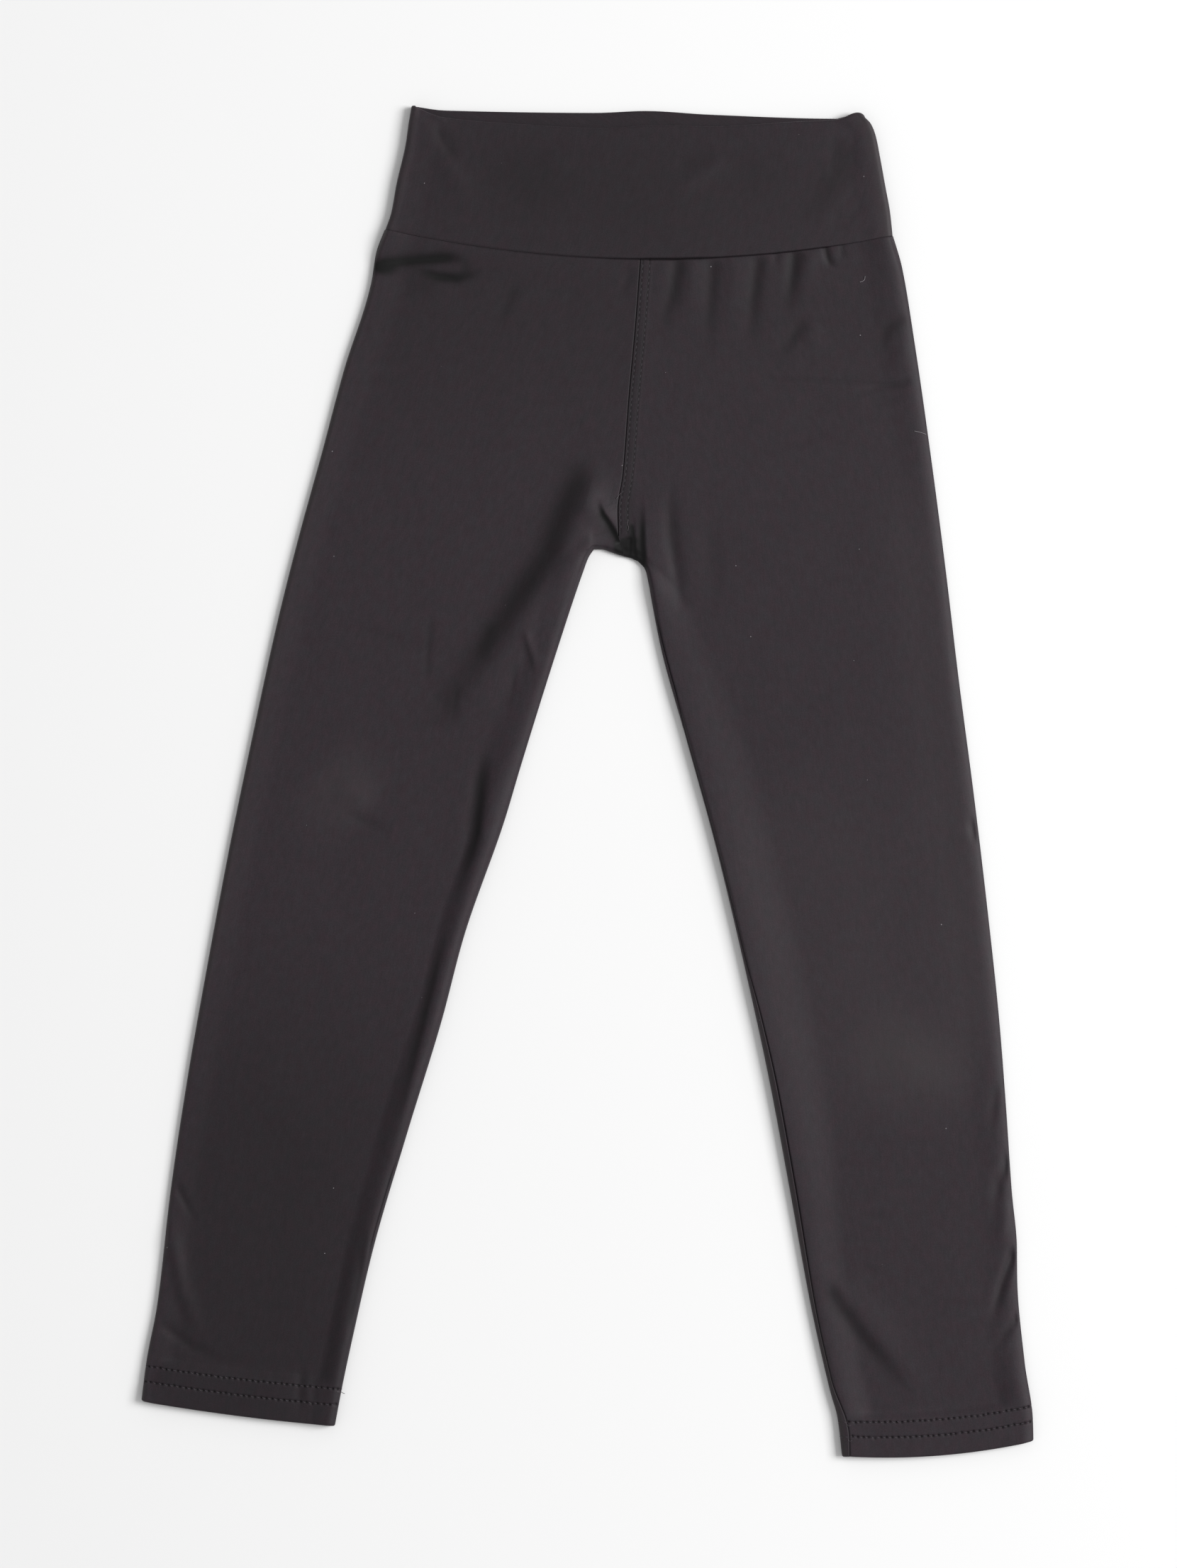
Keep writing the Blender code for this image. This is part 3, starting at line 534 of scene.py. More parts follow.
def leg_wall(leg, outer_down):
    """Thickness of a leg's cloth on one of its lines: double in the hem."""
    above_edge = TUBE_LINES[leg][-1].outer - outer_down
    return CLOTH + (DOUBLED - CLOTH) * smooth_step((HEM_STEP_TOP - above_edge) / HEM_STEP)


def turned_edge(steps, radius):
    """(depth, beyond) rows round a turned edge: how deep inside the outer face, and how far past it."""
    angles = np.arange(1, steps + 1) / steps * math.pi
    return np.column_stack((radius * (1 - np.cos(angles)), radius * np.sin(angles)))


def columns_of(table, place):
    """The eased values of each column of a table at `place`."""
    table = np.array(table)
    return [eased(table[:, [0, k]], place) for k in range(1, table.shape[1])]


def unit(vectors):
    """The vectors at length 1."""
    return vectors / np.linalg.norm(vectors, axis=-1, keepdims=True)


def on_edge(edge, down, out=0.0):
    """Points (across, down) on one of a leg's edges, or `out` to its right."""
    return np.stack((eased(edge, down) + out, down), -1)


# A row of a leg's mesh runs from its `start` at the inner seam over the front to its `outer` point, and
# back along the underside to its `end`. A `closed` row goes on round the `inner` fold to its start.
# Inside the turned hem a row lies `depth` inside the outer face, and at the turn `beyond` the others.
Rows = namedtuple("Rows", "outer start end inner depth beyond closed front_sag back_sag place")


def leg_rows(leg):
    """The rows of a leg's mesh, from the waist seam to the hem and up inside it."""
    rise, tube = RISE_LINES[leg], TUBE_LINES[leg]
    top, crotch, first = rise[0].outer, rise[-1].outer, tube[0].outer
    hem, radius = tube[-1].outer, DOUBLED / 2
    edge, hem_zone = hem - radius, hem - HEM_ZONE
    near_crotch = crotch - ABOVE_CROTCH
    place = np.concatenate((
        top + np.array(BESIDE_SEAM),
        np.linspace(top + OFF_SEAM, near_crotch, RISE_ROWS, endpoint=False),
        np.linspace(near_crotch, crotch, ABOVE_CROTCH_ROWS, endpoint=False),
    ))
    front_down, back_down, front_sag, back_sag = columns_of(rise, place)
    out = PARTING if leg == "leg_left" else -PARTING
    front, zero = on_edge(CENTRE_FRONT, front_down, out), np.zeros(len(place))
    rise_rows = Rows(
        on_edge(OUTER_EDGE[leg], place), front, on_edge(CENTRE_BACK, back_down, out), front,
        zero, zero, zero, front_sag, back_sag, place,
    )

    near_crotch = first + BELOW_CROTCH
    place = np.concatenate((
        np.linspace(first, near_crotch, BELOW_CROTCH_ROWS, endpoint=False),
        np.linspace(near_crotch, hem_zone, TUBE_ROWS, endpoint=False),
        np.union1d(np.linspace(hem_zone, edge, HEM_ZONE_ROWS), hem - np.array(HEM_ROWS)),
    ))
    turned = turned_edge(TURN_ROWS, radius)
    inside = np.linspace(edge - 1, hem - HEM_DEPTH, INSIDE_ROWS)
    depth = np.concatenate((np.zeros(len(place)), turned[:, 0], np.full(len(inside), 2 * radius)))
    beyond = np.concatenate((np.zeros(len(place)), turned[:, 1], np.zeros(len(inside))))
    place = np.concatenate((place, np.full(len(turned), edge), inside))
    front_down, _, front_sag, back_sag = columns_of(tube, place)
    outer, inner = on_edge(OUTER_EDGE[leg], place), on_edge(INSEAM_EDGE[leg], front_down)
    inward = unit(outer - inner)
    seam = inner + inward * columns_of(INSEAM[leg], front_down)[0][:, None]
    tube_rows = Rows(
        outer, seam, inner + inward * UNDER_FOLD, inner,
        depth, beyond, np.ones(len(place)), front_sag, back_sag, place,
    )

    # Round the crotch the rows fan out from the foot of the centre-front seam to the inseam's top.
    share = np.arange(CROTCH_ROWS) / CROTCH_ROWS
    foot = on_edge(CENTRE_FRONT, np.array(CENTRE_FRONT[-1][0]), out)
    edge_across = [across for across, _ in CROTCH_EDGE[leg]]
    begin = max(edge_across) if leg == "leg_right" else min(edge_across)
    across = begin + (tube_rows.inner[0, 0] - begin) * share
    inner = np.stack((across, eased(CROTCH_EDGE[leg], across)), -1)
    front = foot + (tube_rows.start[0] - foot) * share[:, None]
    place = crotch + (first - crotch) * share
    zero = np.zeros(len(place))
    crotch_rows = Rows(
        on_edge(OUTER_EDGE[leg], place), front, inner + unit(front - inner) * UNDER_FOLD, inner,
        zero, zero, zero + 1, zero, rise[-1].back_sag * (1 - share ** 3), place,
    )
    return Rows(*(np.concatenate(parts) for parts in zip(rise_rows, crotch_rows, tube_rows)))


def from_line(across, down, line):
    """Distance of each point from a line of points."""
    nearest = np.full(across.shape, np.inf)
    for (a, d), run in zip(line[:-1], np.diff(line, axis=0)):
        along = ((across - a) * run[0] + (down - d) * run[1]) / (run @ run)
        along = np.clip(along, 0, 1)
        nearest = np.minimum(nearest, np.hypot(across - a - run[0] * along, down - d - run[1] * along))
    return nearest


def side_height(table, down, distance, rest):
    """Height that a folded side adds to the cloth's rest: an elliptic shoulder, then a slow sinking."""
    low, crest, shoulder, sinks = columns_of(table, down)
    inside = np.clip(distance / shoulder, 0, 1)
    up_the_shoulder = low + (crest - low) * np.sqrt(1 - (1 - inside) ** 2)
    sunk = rest + (crest - rest) * fall_off(distance - shoulder, sinks)
    return np.where(distance < shoulder, up_the_shoulder, sunk) - rest


Lines = namedtuple("Lines", "outer inner centre inseam")


def leg_lines(rows):
    """The lines that a leg's relief follows: its sides, its centre-front seam and its inseam."""
    outside = rows.depth == 0
    closed = outside & (rows.closed > 0)
    return Lines(
        rows.outer[outside], rows.inner[closed], rows.start[rows.closed == 0], rows.start[closed]
    )


OUTER_GUARD, INNER_GUARD = 2.5, 2.0  # folds and ripples fade over this width, towards the folded sides
LEAST_HEIGHT = 1.0


def leg_surface(leg, lines, across, down, rest):
    """Height of a leg's front: a flat rest, rolls along its sides, the hold of the band, and folds."""
    from_outer = from_line(across, down, lines.outer)
    from_inner = from_line(across, down, lines.inner)
    guard = smooth_step(from_outer / OUTER_GUARD) * smooth_step(from_inner / INNER_GUARD)
    height = rest + relief(FOLDS[leg], across, down) * guard
    height += rippled(LEG_RIPPLES, across, down) * guard
    height += (SEAM_TOP - rest) * fall_off(down - seam_down(across), SEAM_HOLD) * guard
    height += side_height(OUTER_SIDE[leg], down, from_outer, rest)
    height += side_height(INNER_SIDE[leg], down, from_inner, rest)
    return np.maximum(height, LEAST_HEIGHT) - seam_dip(leg, lines, across, down)


# The seams pull the cloth down into a narrow groove. The centre-front seam allowance lies under the
# left leg, where two needle rows hold it and quilt the strip between them.
WAIST_GROOVE = [  # how deep and how wide the waist seam is drawn in, along it
    (-98.5, 0.12, 0.6), (-75.0, 0.16, 0.62), (-60.0, 0.22, 0.6), (-40.0, 0.26, 0.5), (-5.0, 0.34, 0.38),
    (22.0, 0.6, 0.34), (30.0, 1.0, 0.46), (50.0, 0.95, 0.42), (60.0, 0.6, 0.3), (106.0, 0.45, 0.28),
    (122.0, 0.16, 0.28), (146.0, 0.16, 0.28),
]
CENTRE_GROOVE, CENTRE_WIDTH = 0.36, 0.22
INSEAM_WIDTH = 0.28
STRIP_ROWS = (1.2, 4.4)  # its needle rows, beside the seam
STRIP_RISE, STRIP_SIDE, STRIP_SLOPE = 0.14, 4.0, 2.4
STRIP_END, STRIP_FADE = 198.0, 3.0
STRIP_DIP = 0.12
ROW_DIP, ROW_DIP_WIDTH = 0.3, 0.42


def waist_groove(across, down, wider=0.0):
    """Depth of the waist seam's groove at each place."""
    depth, width = columns_of(WAIST_GROOVE, across)
    return depth * bell(down - seam_down(across), width + wider)


def seam_dip(leg, lines, across, down):
    """How far the seams draw a leg's cloth down, less what the quilted strip lifts it."""
    from_centre = from_line(across, down, lines.centre)
    from_inseam = from_line(across, down, lines.inseam)
    dip = waist_groove(across, down) + CENTRE_GROOVE * bell(from_centre, CENTRE_WIDTH)
    dip += columns_of(INSEAM[leg], down)[1] * bell(from_inseam, INSEAM_WIDTH)
    if leg == "leg_left":
        strip = STRIP_RISE * fall_off(from_centre - STRIP_SIDE, STRIP_SLOPE)
        rows = STRIP_DIP * sum(bell(from_centre - row, ROW_DIP_WIDTH) for row in STRIP_ROWS)
        dip += (rows - strip) * fall_off(down - STRIP_END, STRIP_FADE)
    return dip


# The painted shade in a trough nears the full one as its depth passes SHADED_TROUGH. Along the seams
# it is a share of the full painted shade, or of the groove's depth, and a little wider than the groove.
SHADED_TROUGH = 2.6
WAIST_SHADE, WAIST_WIDER = 0.7, 0.1
CENTRE_SHADE, CENTRE_SHADE_WIDTH = 0.6, 0.3
ROW_SHADE, INSEAM_SHADE, SHADE_WIDTH = 0.75, 0.6, 0.4


def leg_shade(leg, lines, across, down):
    """How much painted shade darkens the cloth: deep in the troughs, and where a seam draws it in."""
    from_centre = from_line(across, down, lines.centre)
    from_inseam = from_line(across, down, lines.inseam)
    troughs = relief([fold for fold in FOLDS[leg] if fold.height < 0], across, down)
    shade = 1 - np.exp(troughs / SHADED_TROUGH) + WAIST_SHADE * waist_groove(across, down, WAIST_WIDER)
    shade += CENTRE_SHADE * bell(from_centre, CENTRE_SHADE_WIDTH)
    shade += INSEAM_SHADE * columns_of(INSEAM[leg], down)[1] * bell(from_inseam, SHADE_WIDTH)
    if leg == "leg_left":
        rows = ROW_SHADE * sum(bell(from_centre - row, SHADE_WIDTH) for row in STRIP_ROWS)
        shade += rows * fall_off(down - STRIP_END, STRIP_FADE)
    return shade


def front_reach(length, middle_columns):
    """How far from the seam the front's columns lie: close beside it and towards the outer fold."""
    near, far = np.broadcast_to(NEAR_SEAM, (len(length), len(NEAR_SEAM))), length - SHOULDER
    middle = np.arange(1, middle_columns + 1)[None, :] / middle_columns
    crowd = 1 - (1 - np.arange(1, SHOULDER_COLUMNS + 1)[None, :] / SHOULDER_COLUMNS) ** 2
    return np.concatenate(
        (near, NEAR_SEAM[-1] + (far - NEAR_SEAM[-1]) * middle, far + SHOULDER * crowd), axis=1
    )


TUCK = 6.0  # within this width of a leg's folds, the turned hem's sides are tucked in


def leg_grid(leg, rows, lines, middle_columns):
    """Points (across, down, height) of a leg: the rows over front and underside, and the inner fold.

    The second grid closes the leg: from the underside's end round the inner fold to the seam.
    """
    wall = leg_wall(leg, rows.place)[:, None]
    rest = 2 * wall + LEG_AIR
    first, top = RISE_LINES[leg][0], CENTRE_FRONT[0][1]
    start = OUTER_EDGE[leg][0][1]
    follow = fall_off(rows.place - first.outer, SEAM_FOLLOW)[:, None]
    depth, beyond = rows.depth[:, None], rows.beyond[:, None]

    def pull(across):
        """How far the waist seam's curve moves the rows near it from their straight lines."""
        straight = first.outer + (first.front - first.outer) * (across - start) / (top - start)
        return (seam_down(across) - straight) * follow

    def run(begin, finish, share, sag):
        """Places (across, down) at shares of the way between two points of each row."""
        across = begin[:, :1] + (finish[:, :1] - begin[:, :1]) * share
        down = begin[:, 1:] + (finish[:, 1:] - begin[:, 1:]) * share + sag[:, None] * hump(share)
        return across, down + pull(across)

    def tuck(across, down, height, low, toward, top_side):
        """A point of the cloth moved to its inner face, where a row lies inside the turned hem."""
        deep = np.clip((height - low) / (rest - low), 0, 1) if top_side else (height - low) / low
        from_fold = np.minimum(from_line(across, down, lines.outer), from_line(across, down, lines.inner))
        moved = depth * (1 - np.clip(from_fold / TUCK, 0, 1)) * toward
        return np.stack((across + moved, down + beyond, height - depth * deep), -1)

    # The front, from the seam to the outer fold.
    length = np.linalg.norm(rows.outer - rows.start, axis=-1)[:, None]
    share = front_reach(length, middle_columns) / length
    across, down = run(rows.start, rows.outer, share, rows.front_sag)
    height = leg_surface(leg, lines, across, down, np.broadcast_to(rest, across.shape))
    from_edge = TUBE_LINES[leg][-1].outer - rows.place
    dip = ROW_DIP * sum(bell(from_edge - row, ROW_DIP_WIDTH) for row in HEM_ROWS)[:, None]
    dip = np.where(depth > 0, 0, dip)
    height -= dip
    out = np.sign(rows.outer[0, 0] - rows.start[0, 0])
    outer_low = height[:, -1:]
    front = tuck(across, down, height, outer_low, np.where(share > 0.5, -out, out), True)

    # The underside, from the outer fold to the row's end: a quarter round, and then flat.
    angle = np.arange(1, UNDER_COLUMNS + 1)[None, :] / UNDER_COLUMNS * math.pi / 2
    length = np.linalg.norm(rows.outer - rows.end, axis=-1)[:, None]
    flat = np.arange(1, BACK_COLUMNS + 1)[None, :] / BACK_COLUMNS
    under = np.broadcast_to(UNDER_FOLD * (1 - np.cos(angle)), (len(length), UNDER_COLUMNS))
    reach = np.concatenate((under, UNDER_FOLD + (length - UNDER_FOLD) * flat), axis=1)
    share = 1 - reach / length
    across, down = run(rows.end, rows.outer, share, rows.back_sag)
    sunk = np.concatenate((1 - np.sin(angle), np.zeros(flat.shape)), axis=1)
    height = outer_low * sunk + dip * (reach > UNDER_FOLD)
    back = tuck(across, down, height, outer_low, np.where(share > 0.5, -out, out), False)
    grid = np.concatenate((front, back), axis=1)

    # The inner fold: a quarter round from the row's end, and up over the roll to the seam.
    inner, angle = rows.inner[:, None], angle[:, -2::-1]
    lower = inner + (rows.end[:, None] - inner) * (1 - np.cos(angle))[..., None]
    share = (1 - np.cos(np.arange(CLOSING_COLUMNS)[None, :, None] / CLOSING_COLUMNS * math.pi)) / 2
    upper = inner + (rows.start[:, None] - inner) * share
    height = leg_surface(leg, lines, upper[..., 0], upper[..., 1], np.broadcast_to(rest, upper.shape[:2]))
    inner_low = height[:, :1]
    lower = tuck(lower[..., 0], lower[..., 1], inner_low * (1 - np.sin(angle)), inner_low, out, False)
    upper = tuck(upper[..., 0], upper[..., 1], height, inner_low, out, True)
    return grid, np.concatenate((lower, upper), axis=1)


def along_line(points, places):
    """Points at the given lengths along a line of points."""
    lengths = np.concatenate(([0], np.cumsum(np.linalg.norm(np.diff(points, axis=0), axis=-1))))
    return np.stack([np.interp(places, lengths, column) for column in points.T], -1), lengths[-1]


def from_points(across, down, points):
    """Distance of each place from the nearest of some points."""
    nearest = np.full(across.shape, np.inf)
    for a, d in points:
        nearest = np.minimum(nearest, np.hypot(across - a, down - d))
    return nearest


def place_points(points):
    """A table's points (across, down, height) in metres, in the frame of the part."""
    return np.stack((points[..., 0], TOP_EDGE / MM - points[..., 1], points[..., 2]), -1) * MM


def new_piece(name, points, faces, material):
    """A smooth-shaded piece of one material, from points in metres."""
    mesh = bpy.data.meshes.new(name)
    mesh.from_pydata(points, [], faces)
    mesh.materials.append(material)
    mesh.shade_smooth()
    piece = bpy.data.objects.new(name, mesh)
    bpy.context.scene.collection.objects.link(piece)
    return piece


# Bounds of the painted light and shade, as factors on the cloth's colour.
DARKEST_PAINTED_SHADE, LIGHTEST_PAINTED_LIGHT = 0.03, 1.7


def cloth_piece(name, points, faces, weave, shade, nap_and_painted_light, material):
    """A piece of cloth; `weave` is each face corner's place on the cut cloth, kept as its UV map."""
    faces = [face for part in faces for face in part.tolist()]
    piece = new_piece(name, place_points(points).tolist(), faces, material)
    layer = piece.data.uv_layers.new(name="weave")
    flat = np.concatenate([part.reshape(-1, 2) for part in weave])
    layer.data.foreach_set("uv", (flat * MM).astype(np.float32).ravel())
    # The painted light and shade become a factor on the colour, and the painted shade of recesses a share.
    nap_and_painted_light = np.clip(1 + nap_and_painted_light, DARKEST_PAINTED_SHADE, LIGHTEST_PAINTED_LIGHT)
    for attribute, values in (("painted_recess_shade", np.clip(shade, 0, 1)), ("nap_and_painted_light", nap_and_painted_light)):
        layer = piece.data.attributes.new(attribute, "FLOAT", "POINT")
        layer.data.foreach_set("value", values.astype(np.float32))
    return piece


def grid_weave(grid, start_column):
    """Place on the cut cloth of each grid point: round the leg from its outer fold, and down it."""
    steps = np.linalg.norm(np.diff(grid, axis=1), axis=-1)
    around = np.concatenate((np.zeros((len(grid), 1)), np.cumsum(steps, axis=1)), axis=1)
    around -= around[:, start_column][:, None]
    return np.stack((around, grid[..., 1]), -1)


def linear(code):
    """A colour written as sRGB hex, as the linear values that a shader takes."""
    parts = [int(code[k:k + 2], 16) / 255 for k in (0, 2, 4)]
    return (*(part / 12.92 if part <= 0.04045 else ((part + 0.055) / 1.055) ** 2.4 for part in parts), 1.0)


def new_surface(name):
    """A new material, and its Principled shader."""
    material = bpy.data.materials.new(name)
    material.use_nodes = True
    return material, material.node_tree.nodes["Principled BSDF"]


def set_inputs(node, inputs):
    """Set a node's inputs: a socket is linked, and anything else is the input's own value."""
    for name, value in inputs.items():
        if isinstance(value, bpy.types.NodeSocket):
            node.id_data.links.new(value, node.inputs[name])
        else:
            node.inputs[name].default_value = value


def add_node(material, kind, inputs, **settings):
    """A shader node with its inputs and settings."""
    node = material.node_tree.nodes.new(kind)
    for name, value in settings.items():
        setattr(node, name, value)
    set_inputs(node, inputs)
    return node


# A stitch of the knit is 0.5 mm wide, 20 to a centimetre, and too fine to show. So its grain is drawn
# a little coarser: each pattern's width and length are in stitches, then its detail and its start.
KNIT_STITCH = 0.5
Grain = namedtuple("Grain", "wide long detail start")
GRAINS = {
    "nap_and_painted_light": Grain(1.2, 1.4, 2.0, 0.0),
    "wales": Grain(1.8, 18.0, 2.0, 5.0),
    "patches": Grain(6.0, 10.0, 4.0, 3.0),
    "mottle": Grain(10.0, 14.0, 3.0, 9.0),
}


def knit_grain(material, weave, seed):
    """The patterns of the cloth's face, by name, each as a value over its weave."""
    patterns = {}
    for name, (wide, long, detail, start) in GRAINS.items():
        scaled = add_node(material, "ShaderNodeMapping", {
            "Vector": weave,
            "Scale": (1 / (wide * KNIT_STITCH * MM), 1 / (long * KNIT_STITCH * MM), 1.0),
            "Location": (start, start + seed, start),
        })
        cloud = add_node(material, "ShaderNodeTexNoise", {
            "Vector": scaled.outputs["Vector"], "Scale": 1.0, "Detail": detail, "Roughness": 0.6,
        })
        patterns[name] = cloud.outputs["Fac"]
    return patterns


LINT, LINT_APART = 0.27, 65.0  # a speck's greatest radius, and one speck to a square this wide


def lint_specks(material, weave, seed):
    """Specks of lint, one here and there and each of its own size: 1 on a speck and 0 off it."""
    strewn_at = add_node(material, "ShaderNodeMapping", {"Vector": weave, "Location": (seed, seed, 0.0)})
    strewn = add_node(
        material, "ShaderNodeTexVoronoi",
        {"Vector": strewn_at.outputs["Vector"], "Scale": 1 / (LINT_APART * MM)}, voronoi_dimensions="2D",
    )
    sizes = add_node(material, "ShaderNodeSeparateColor", {"Color": strewn.outputs["Color"]})
    reach = add_node(
        material, "ShaderNodeMath", {0: sizes.outputs["Red"], 1: LINT / LINT_APART}, operation="MULTIPLY"
    )
    speck = add_node(
        material, "ShaderNodeMath", {0: strewn.outputs["Distance"], 1: reach.outputs["Value"]},
        operation="LESS_THAN",
    )
    return speck.outputs["Value"]


NAP_HEIGHT = 0.12


def brushed_jersey(name, seed):
    """Cotton stretch jersey, dyed charcoal black, its face brushed to a short soft nap.

    That makes it matt, with a fine uneven grain and a faint sheen at low angles. Its colour carries
    painted shade in troughs, seams and needle holes, and painted light and shade in patches.
    """
    material, shader = new_surface(name)
    weave = add_node(material, "ShaderNodeUVMap", {}, uv_map="weave").outputs["UV"]
    # The attributes carry painted shade in recesses, and patches of painted light and shade.
    painted_recess_shade = add_node(material, "ShaderNodeAttribute", {}, attribute_name="painted_recess_shade").outputs["Fac"]
    nap_and_painted_light = add_node(material, "ShaderNodeAttribute", {}, attribute_name="nap_and_painted_light").outputs["Fac"]
    grain = knit_grain(material, weave, seed)
    speck = lint_specks(material, weave, seed)
    # The dye is a little uneven, between a cooler and a warmer charcoal.
    dye = add_node(material, "ShaderNodeValToRGB", {"Fac": grain["mottle"]})
    for element, place, charcoal in zip(dye.color_ramp.elements, (0.35, 0.65), ("262126", "291f25")):
        element.position, element.color = place, linear(charcoal)
    # Where painted light lifts the colour, it also turns paler and less red.
    painted_light_share = add_node(material, "ShaderNodeMath", {0: nap_and_painted_light, 1: 1.0}, operation="SUBTRACT", use_clamp=True)

    colour = dye.outputs["Color"]
    # The colour is multiplied by the patches of painted light and shade, paled where they lighten it, and
    # darkened by the painted shade of recesses.
    for blend, factor, layer in (
        ("OVERLAY", 0.46, grain["nap_and_painted_light"]),
        ("OVERLAY", 0.18, grain["wales"]),
        ("OVERLAY", 0.3, grain["patches"]),
        ("MULTIPLY", 1.0, nap_and_painted_light),
        ("MIX", painted_light_share.outputs["Value"], linear("302d2d")),
        ("MULTIPLY", painted_recess_shade, linear("505050")),
        ("MIX", speck, linear("7c787c")),
    ):
        mixed = {0: factor, 6: colour, 7: layer}
        mixed = add_node(material, "ShaderNodeMix", mixed, data_type="RGBA", blend_type=blend)
        colour = mixed.outputs[2]
    fibres = {0: 0.35, 6: grain["nap_and_painted_light"], 7: grain["wales"]}
    fibres = add_node(material, "ShaderNodeMix", fibres, data_type="RGBA")
    bump = add_node(
        material, "ShaderNodeBump",
        {"Height": fibres.outputs[2], "Strength": 0.35, "Distance": NAP_HEIGHT * MM},
    )
    # Cotton's own gloss is 0.5, and the nap scatters half of it.
    set_inputs(shader, {
        "Base Color": colour,
        "Normal": bump.outputs["Normal"],
        "Roughness": 0.6,
        "Specular IOR Level": 0.25,
        "Sheen Weight": 0.1,
        "Sheen Roughness": 0.45,
        "Sheen Tint": linear("b8b0b6"),
    })
    return material


leg_jersey = {leg: brushed_jersey("brushed_jersey_" + leg, seed) for leg, seed in zip(FOLDS, (0.0, 20.3))}

# The needle holes of the hem rows: small pits along each row, a stitch apart and a little uneven.
STITCH = 2.7
FIRST_HOLE = 1.3
UNEVEN_HOLES = 0.15
PIT_DEPTH, PIT_WIDTH = 0.72, 0.46


def needle_lines(leg, rows, grid, fold):
    """The needle rows of a hem: for each, its line over the front and its line back below it."""
    front_columns = len(NEAR_SEAM) + 2 * MIDDLE_COLUMNS + SHOULDER_COLUMNS
    lines = []
    for above in HEM_ROWS:
        row = np.argmin(np.abs(rows.place - (TUBE_LINES[leg][-1].outer - above)))
        front = grid[row, :front_columns].copy()
        lines.append((front, np.concatenate((grid[row, front_columns - 1:], fold[row], front[:1]))))
    return lines


def needle_holes(lines):
    """Places (across, down, height) of the holes along the front's needle rows."""
    places = [np.arange(FIRST_HOLE, along_line(front, 0)[1], STITCH) for front, _ in lines]
    holes = np.concatenate([along_line(front, at)[0] for (front, _), at in zip(lines, places)])[:, :2]
    return holes + np.random.default_rng(3).normal(0, UNEVEN_HOLES, holes.shape)


def numbered(grids):
    """The vertex numbers of some grids of points that follow each other in a mesh."""
    ends = np.cumsum([grid[..., 0].size for grid in grids])
    starts = np.concatenate(([0], ends))
    shapes = [grid.shape[:2] for grid in grids]
    return [np.arange(start, end).reshape(shape) for start, end, shape in zip(starts, ends, shapes)]


def corners(values):
    """The four corners of each cell of a grid, cell by cell."""
    cells = np.stack((values[:-1, :-1], values[1:, :-1], values[1:, 1:], values[:-1, 1:]), 2)
    return cells.reshape(-1, 4, *values.shape[2:])


FRONT_FROM = 0.6  # the cloth that lies higher than this is the front's
ROUNDING = 1e-6


def sew_leg(leg):
    """A leg's mesh, the lines of its hem's needle rows, and the lines that its relief follows."""
    rows = leg_rows(leg)
    lines = leg_lines(rows)
    split = np.flatnonzero(rows.place > TUBE_LINES[leg][-1].outer - HEM_ZONE - ROUNDING)[0]
    hem_rows = Rows(*(part[split:] for part in rows))
    upper, upper_fold = leg_grid(leg, Rows(*(part[:split] for part in rows)), lines, MIDDLE_COLUMNS)
    lower, lower_fold = leg_grid(leg, hem_rows, lines, 2 * MIDDLE_COLUMNS)
    upper_outer = len(NEAR_SEAM) + MIDDLE_COLUMNS + SHOULDER_COLUMNS - 1
    lower_outer = upper_outer + MIDDLE_COLUMNS

    sewn = needle_lines(leg, hem_rows, lower, lower_fold)
    outside = hem_rows.depth == 0
    front = lower[outside, :lower_outer + 1]
    pits = bell(from_points(front[..., 0], front[..., 1], needle_holes(sewn)), PIT_WIDTH)
    lower[outside, :lower_outer + 1, 2] -= PIT_DEPTH * pits

    # The closed rows go on round the inner fold, and so does their weave.
    closed = rows.closed > 0
    grids = (upper, lower, np.concatenate((upper_fold, lower_fold))[closed])
    points = np.concatenate([grid.reshape(-1, 3) for grid in grids])
    upper_number, lower_number, fold_number = numbered(grids)
    first, last = (np.concatenate((upper_number[:, k], lower_number[:, k]))[closed] for k in (0, -1))
    joined = np.column_stack((last, fold_number, first))
    upper_weave, lower_weave = grid_weave(upper, upper_outer), grid_weave(lower, lower_outer)
    joined_weave = grid_weave(points[joined], -1)
    joined_weave[..., 0] += np.concatenate((upper_weave[:, :1, 0], lower_weave[:, :1, 0]))[closed]

    faces = [corners(number) for number in (upper_number, lower_number, joined)]
    weave = [corners(place) for place in (upper_weave, lower_weave, joined_weave)]
    # Between the two grids each middle cell has two cells below it.
    above = np.arange(upper.shape[1])
    below = above + np.clip(above - len(NEAR_SEAM) + 1, 0, MIDDLE_COLUMNS)
    for k in above[:-1]:
        under = slice(below[k], below[k + 1] + 1)
        for cells, top, bottom in ((faces, upper_number, lower_number), (weave, upper_weave, lower_weave)):
            cells.append(np.array([[top[-1, k], *bottom[0, under], top[-1, k + 1]]]))
    if leg == "leg_right":
        faces, weave = [part[:, ::-1] for part in faces], [part[:, ::-1] for part in weave]

    across, down, height = points.T
    on_front = smooth_step(height - FRONT_FROM)
    shade = leg_shade(leg, lines, across, down) * on_front
    # Painted shade in the needle holes, over their pits.
    shade[lower_number[outside, :lower_outer + 1]] += pits
    # Painted light along the outer fold, added to the patches of painted light and shade, on the front only.
    rim_light = sum(much * bell(from_line(across, down, lines.outer), width) for much, width in PAINTED_RIM_LIGHT[leg])
    nap_and_painted_light = (relief(PAINTED_LIGHT_AND_SHADE[leg], across, down) + rim_light) * on_front
    return cloth_piece(leg + "_cloth", points, faces, weave, shade, nap_and_painted_light, leg_jersey[leg]), sewn, lines


legs, needle_rows, leg_lines_of = {}, {}, {}
for leg in ("leg_right", "leg_left"):
    legs[leg], needle_rows[leg], leg_lines_of[leg] = sew_leg(leg)
    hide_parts(leg)
    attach(legs[leg], "root")

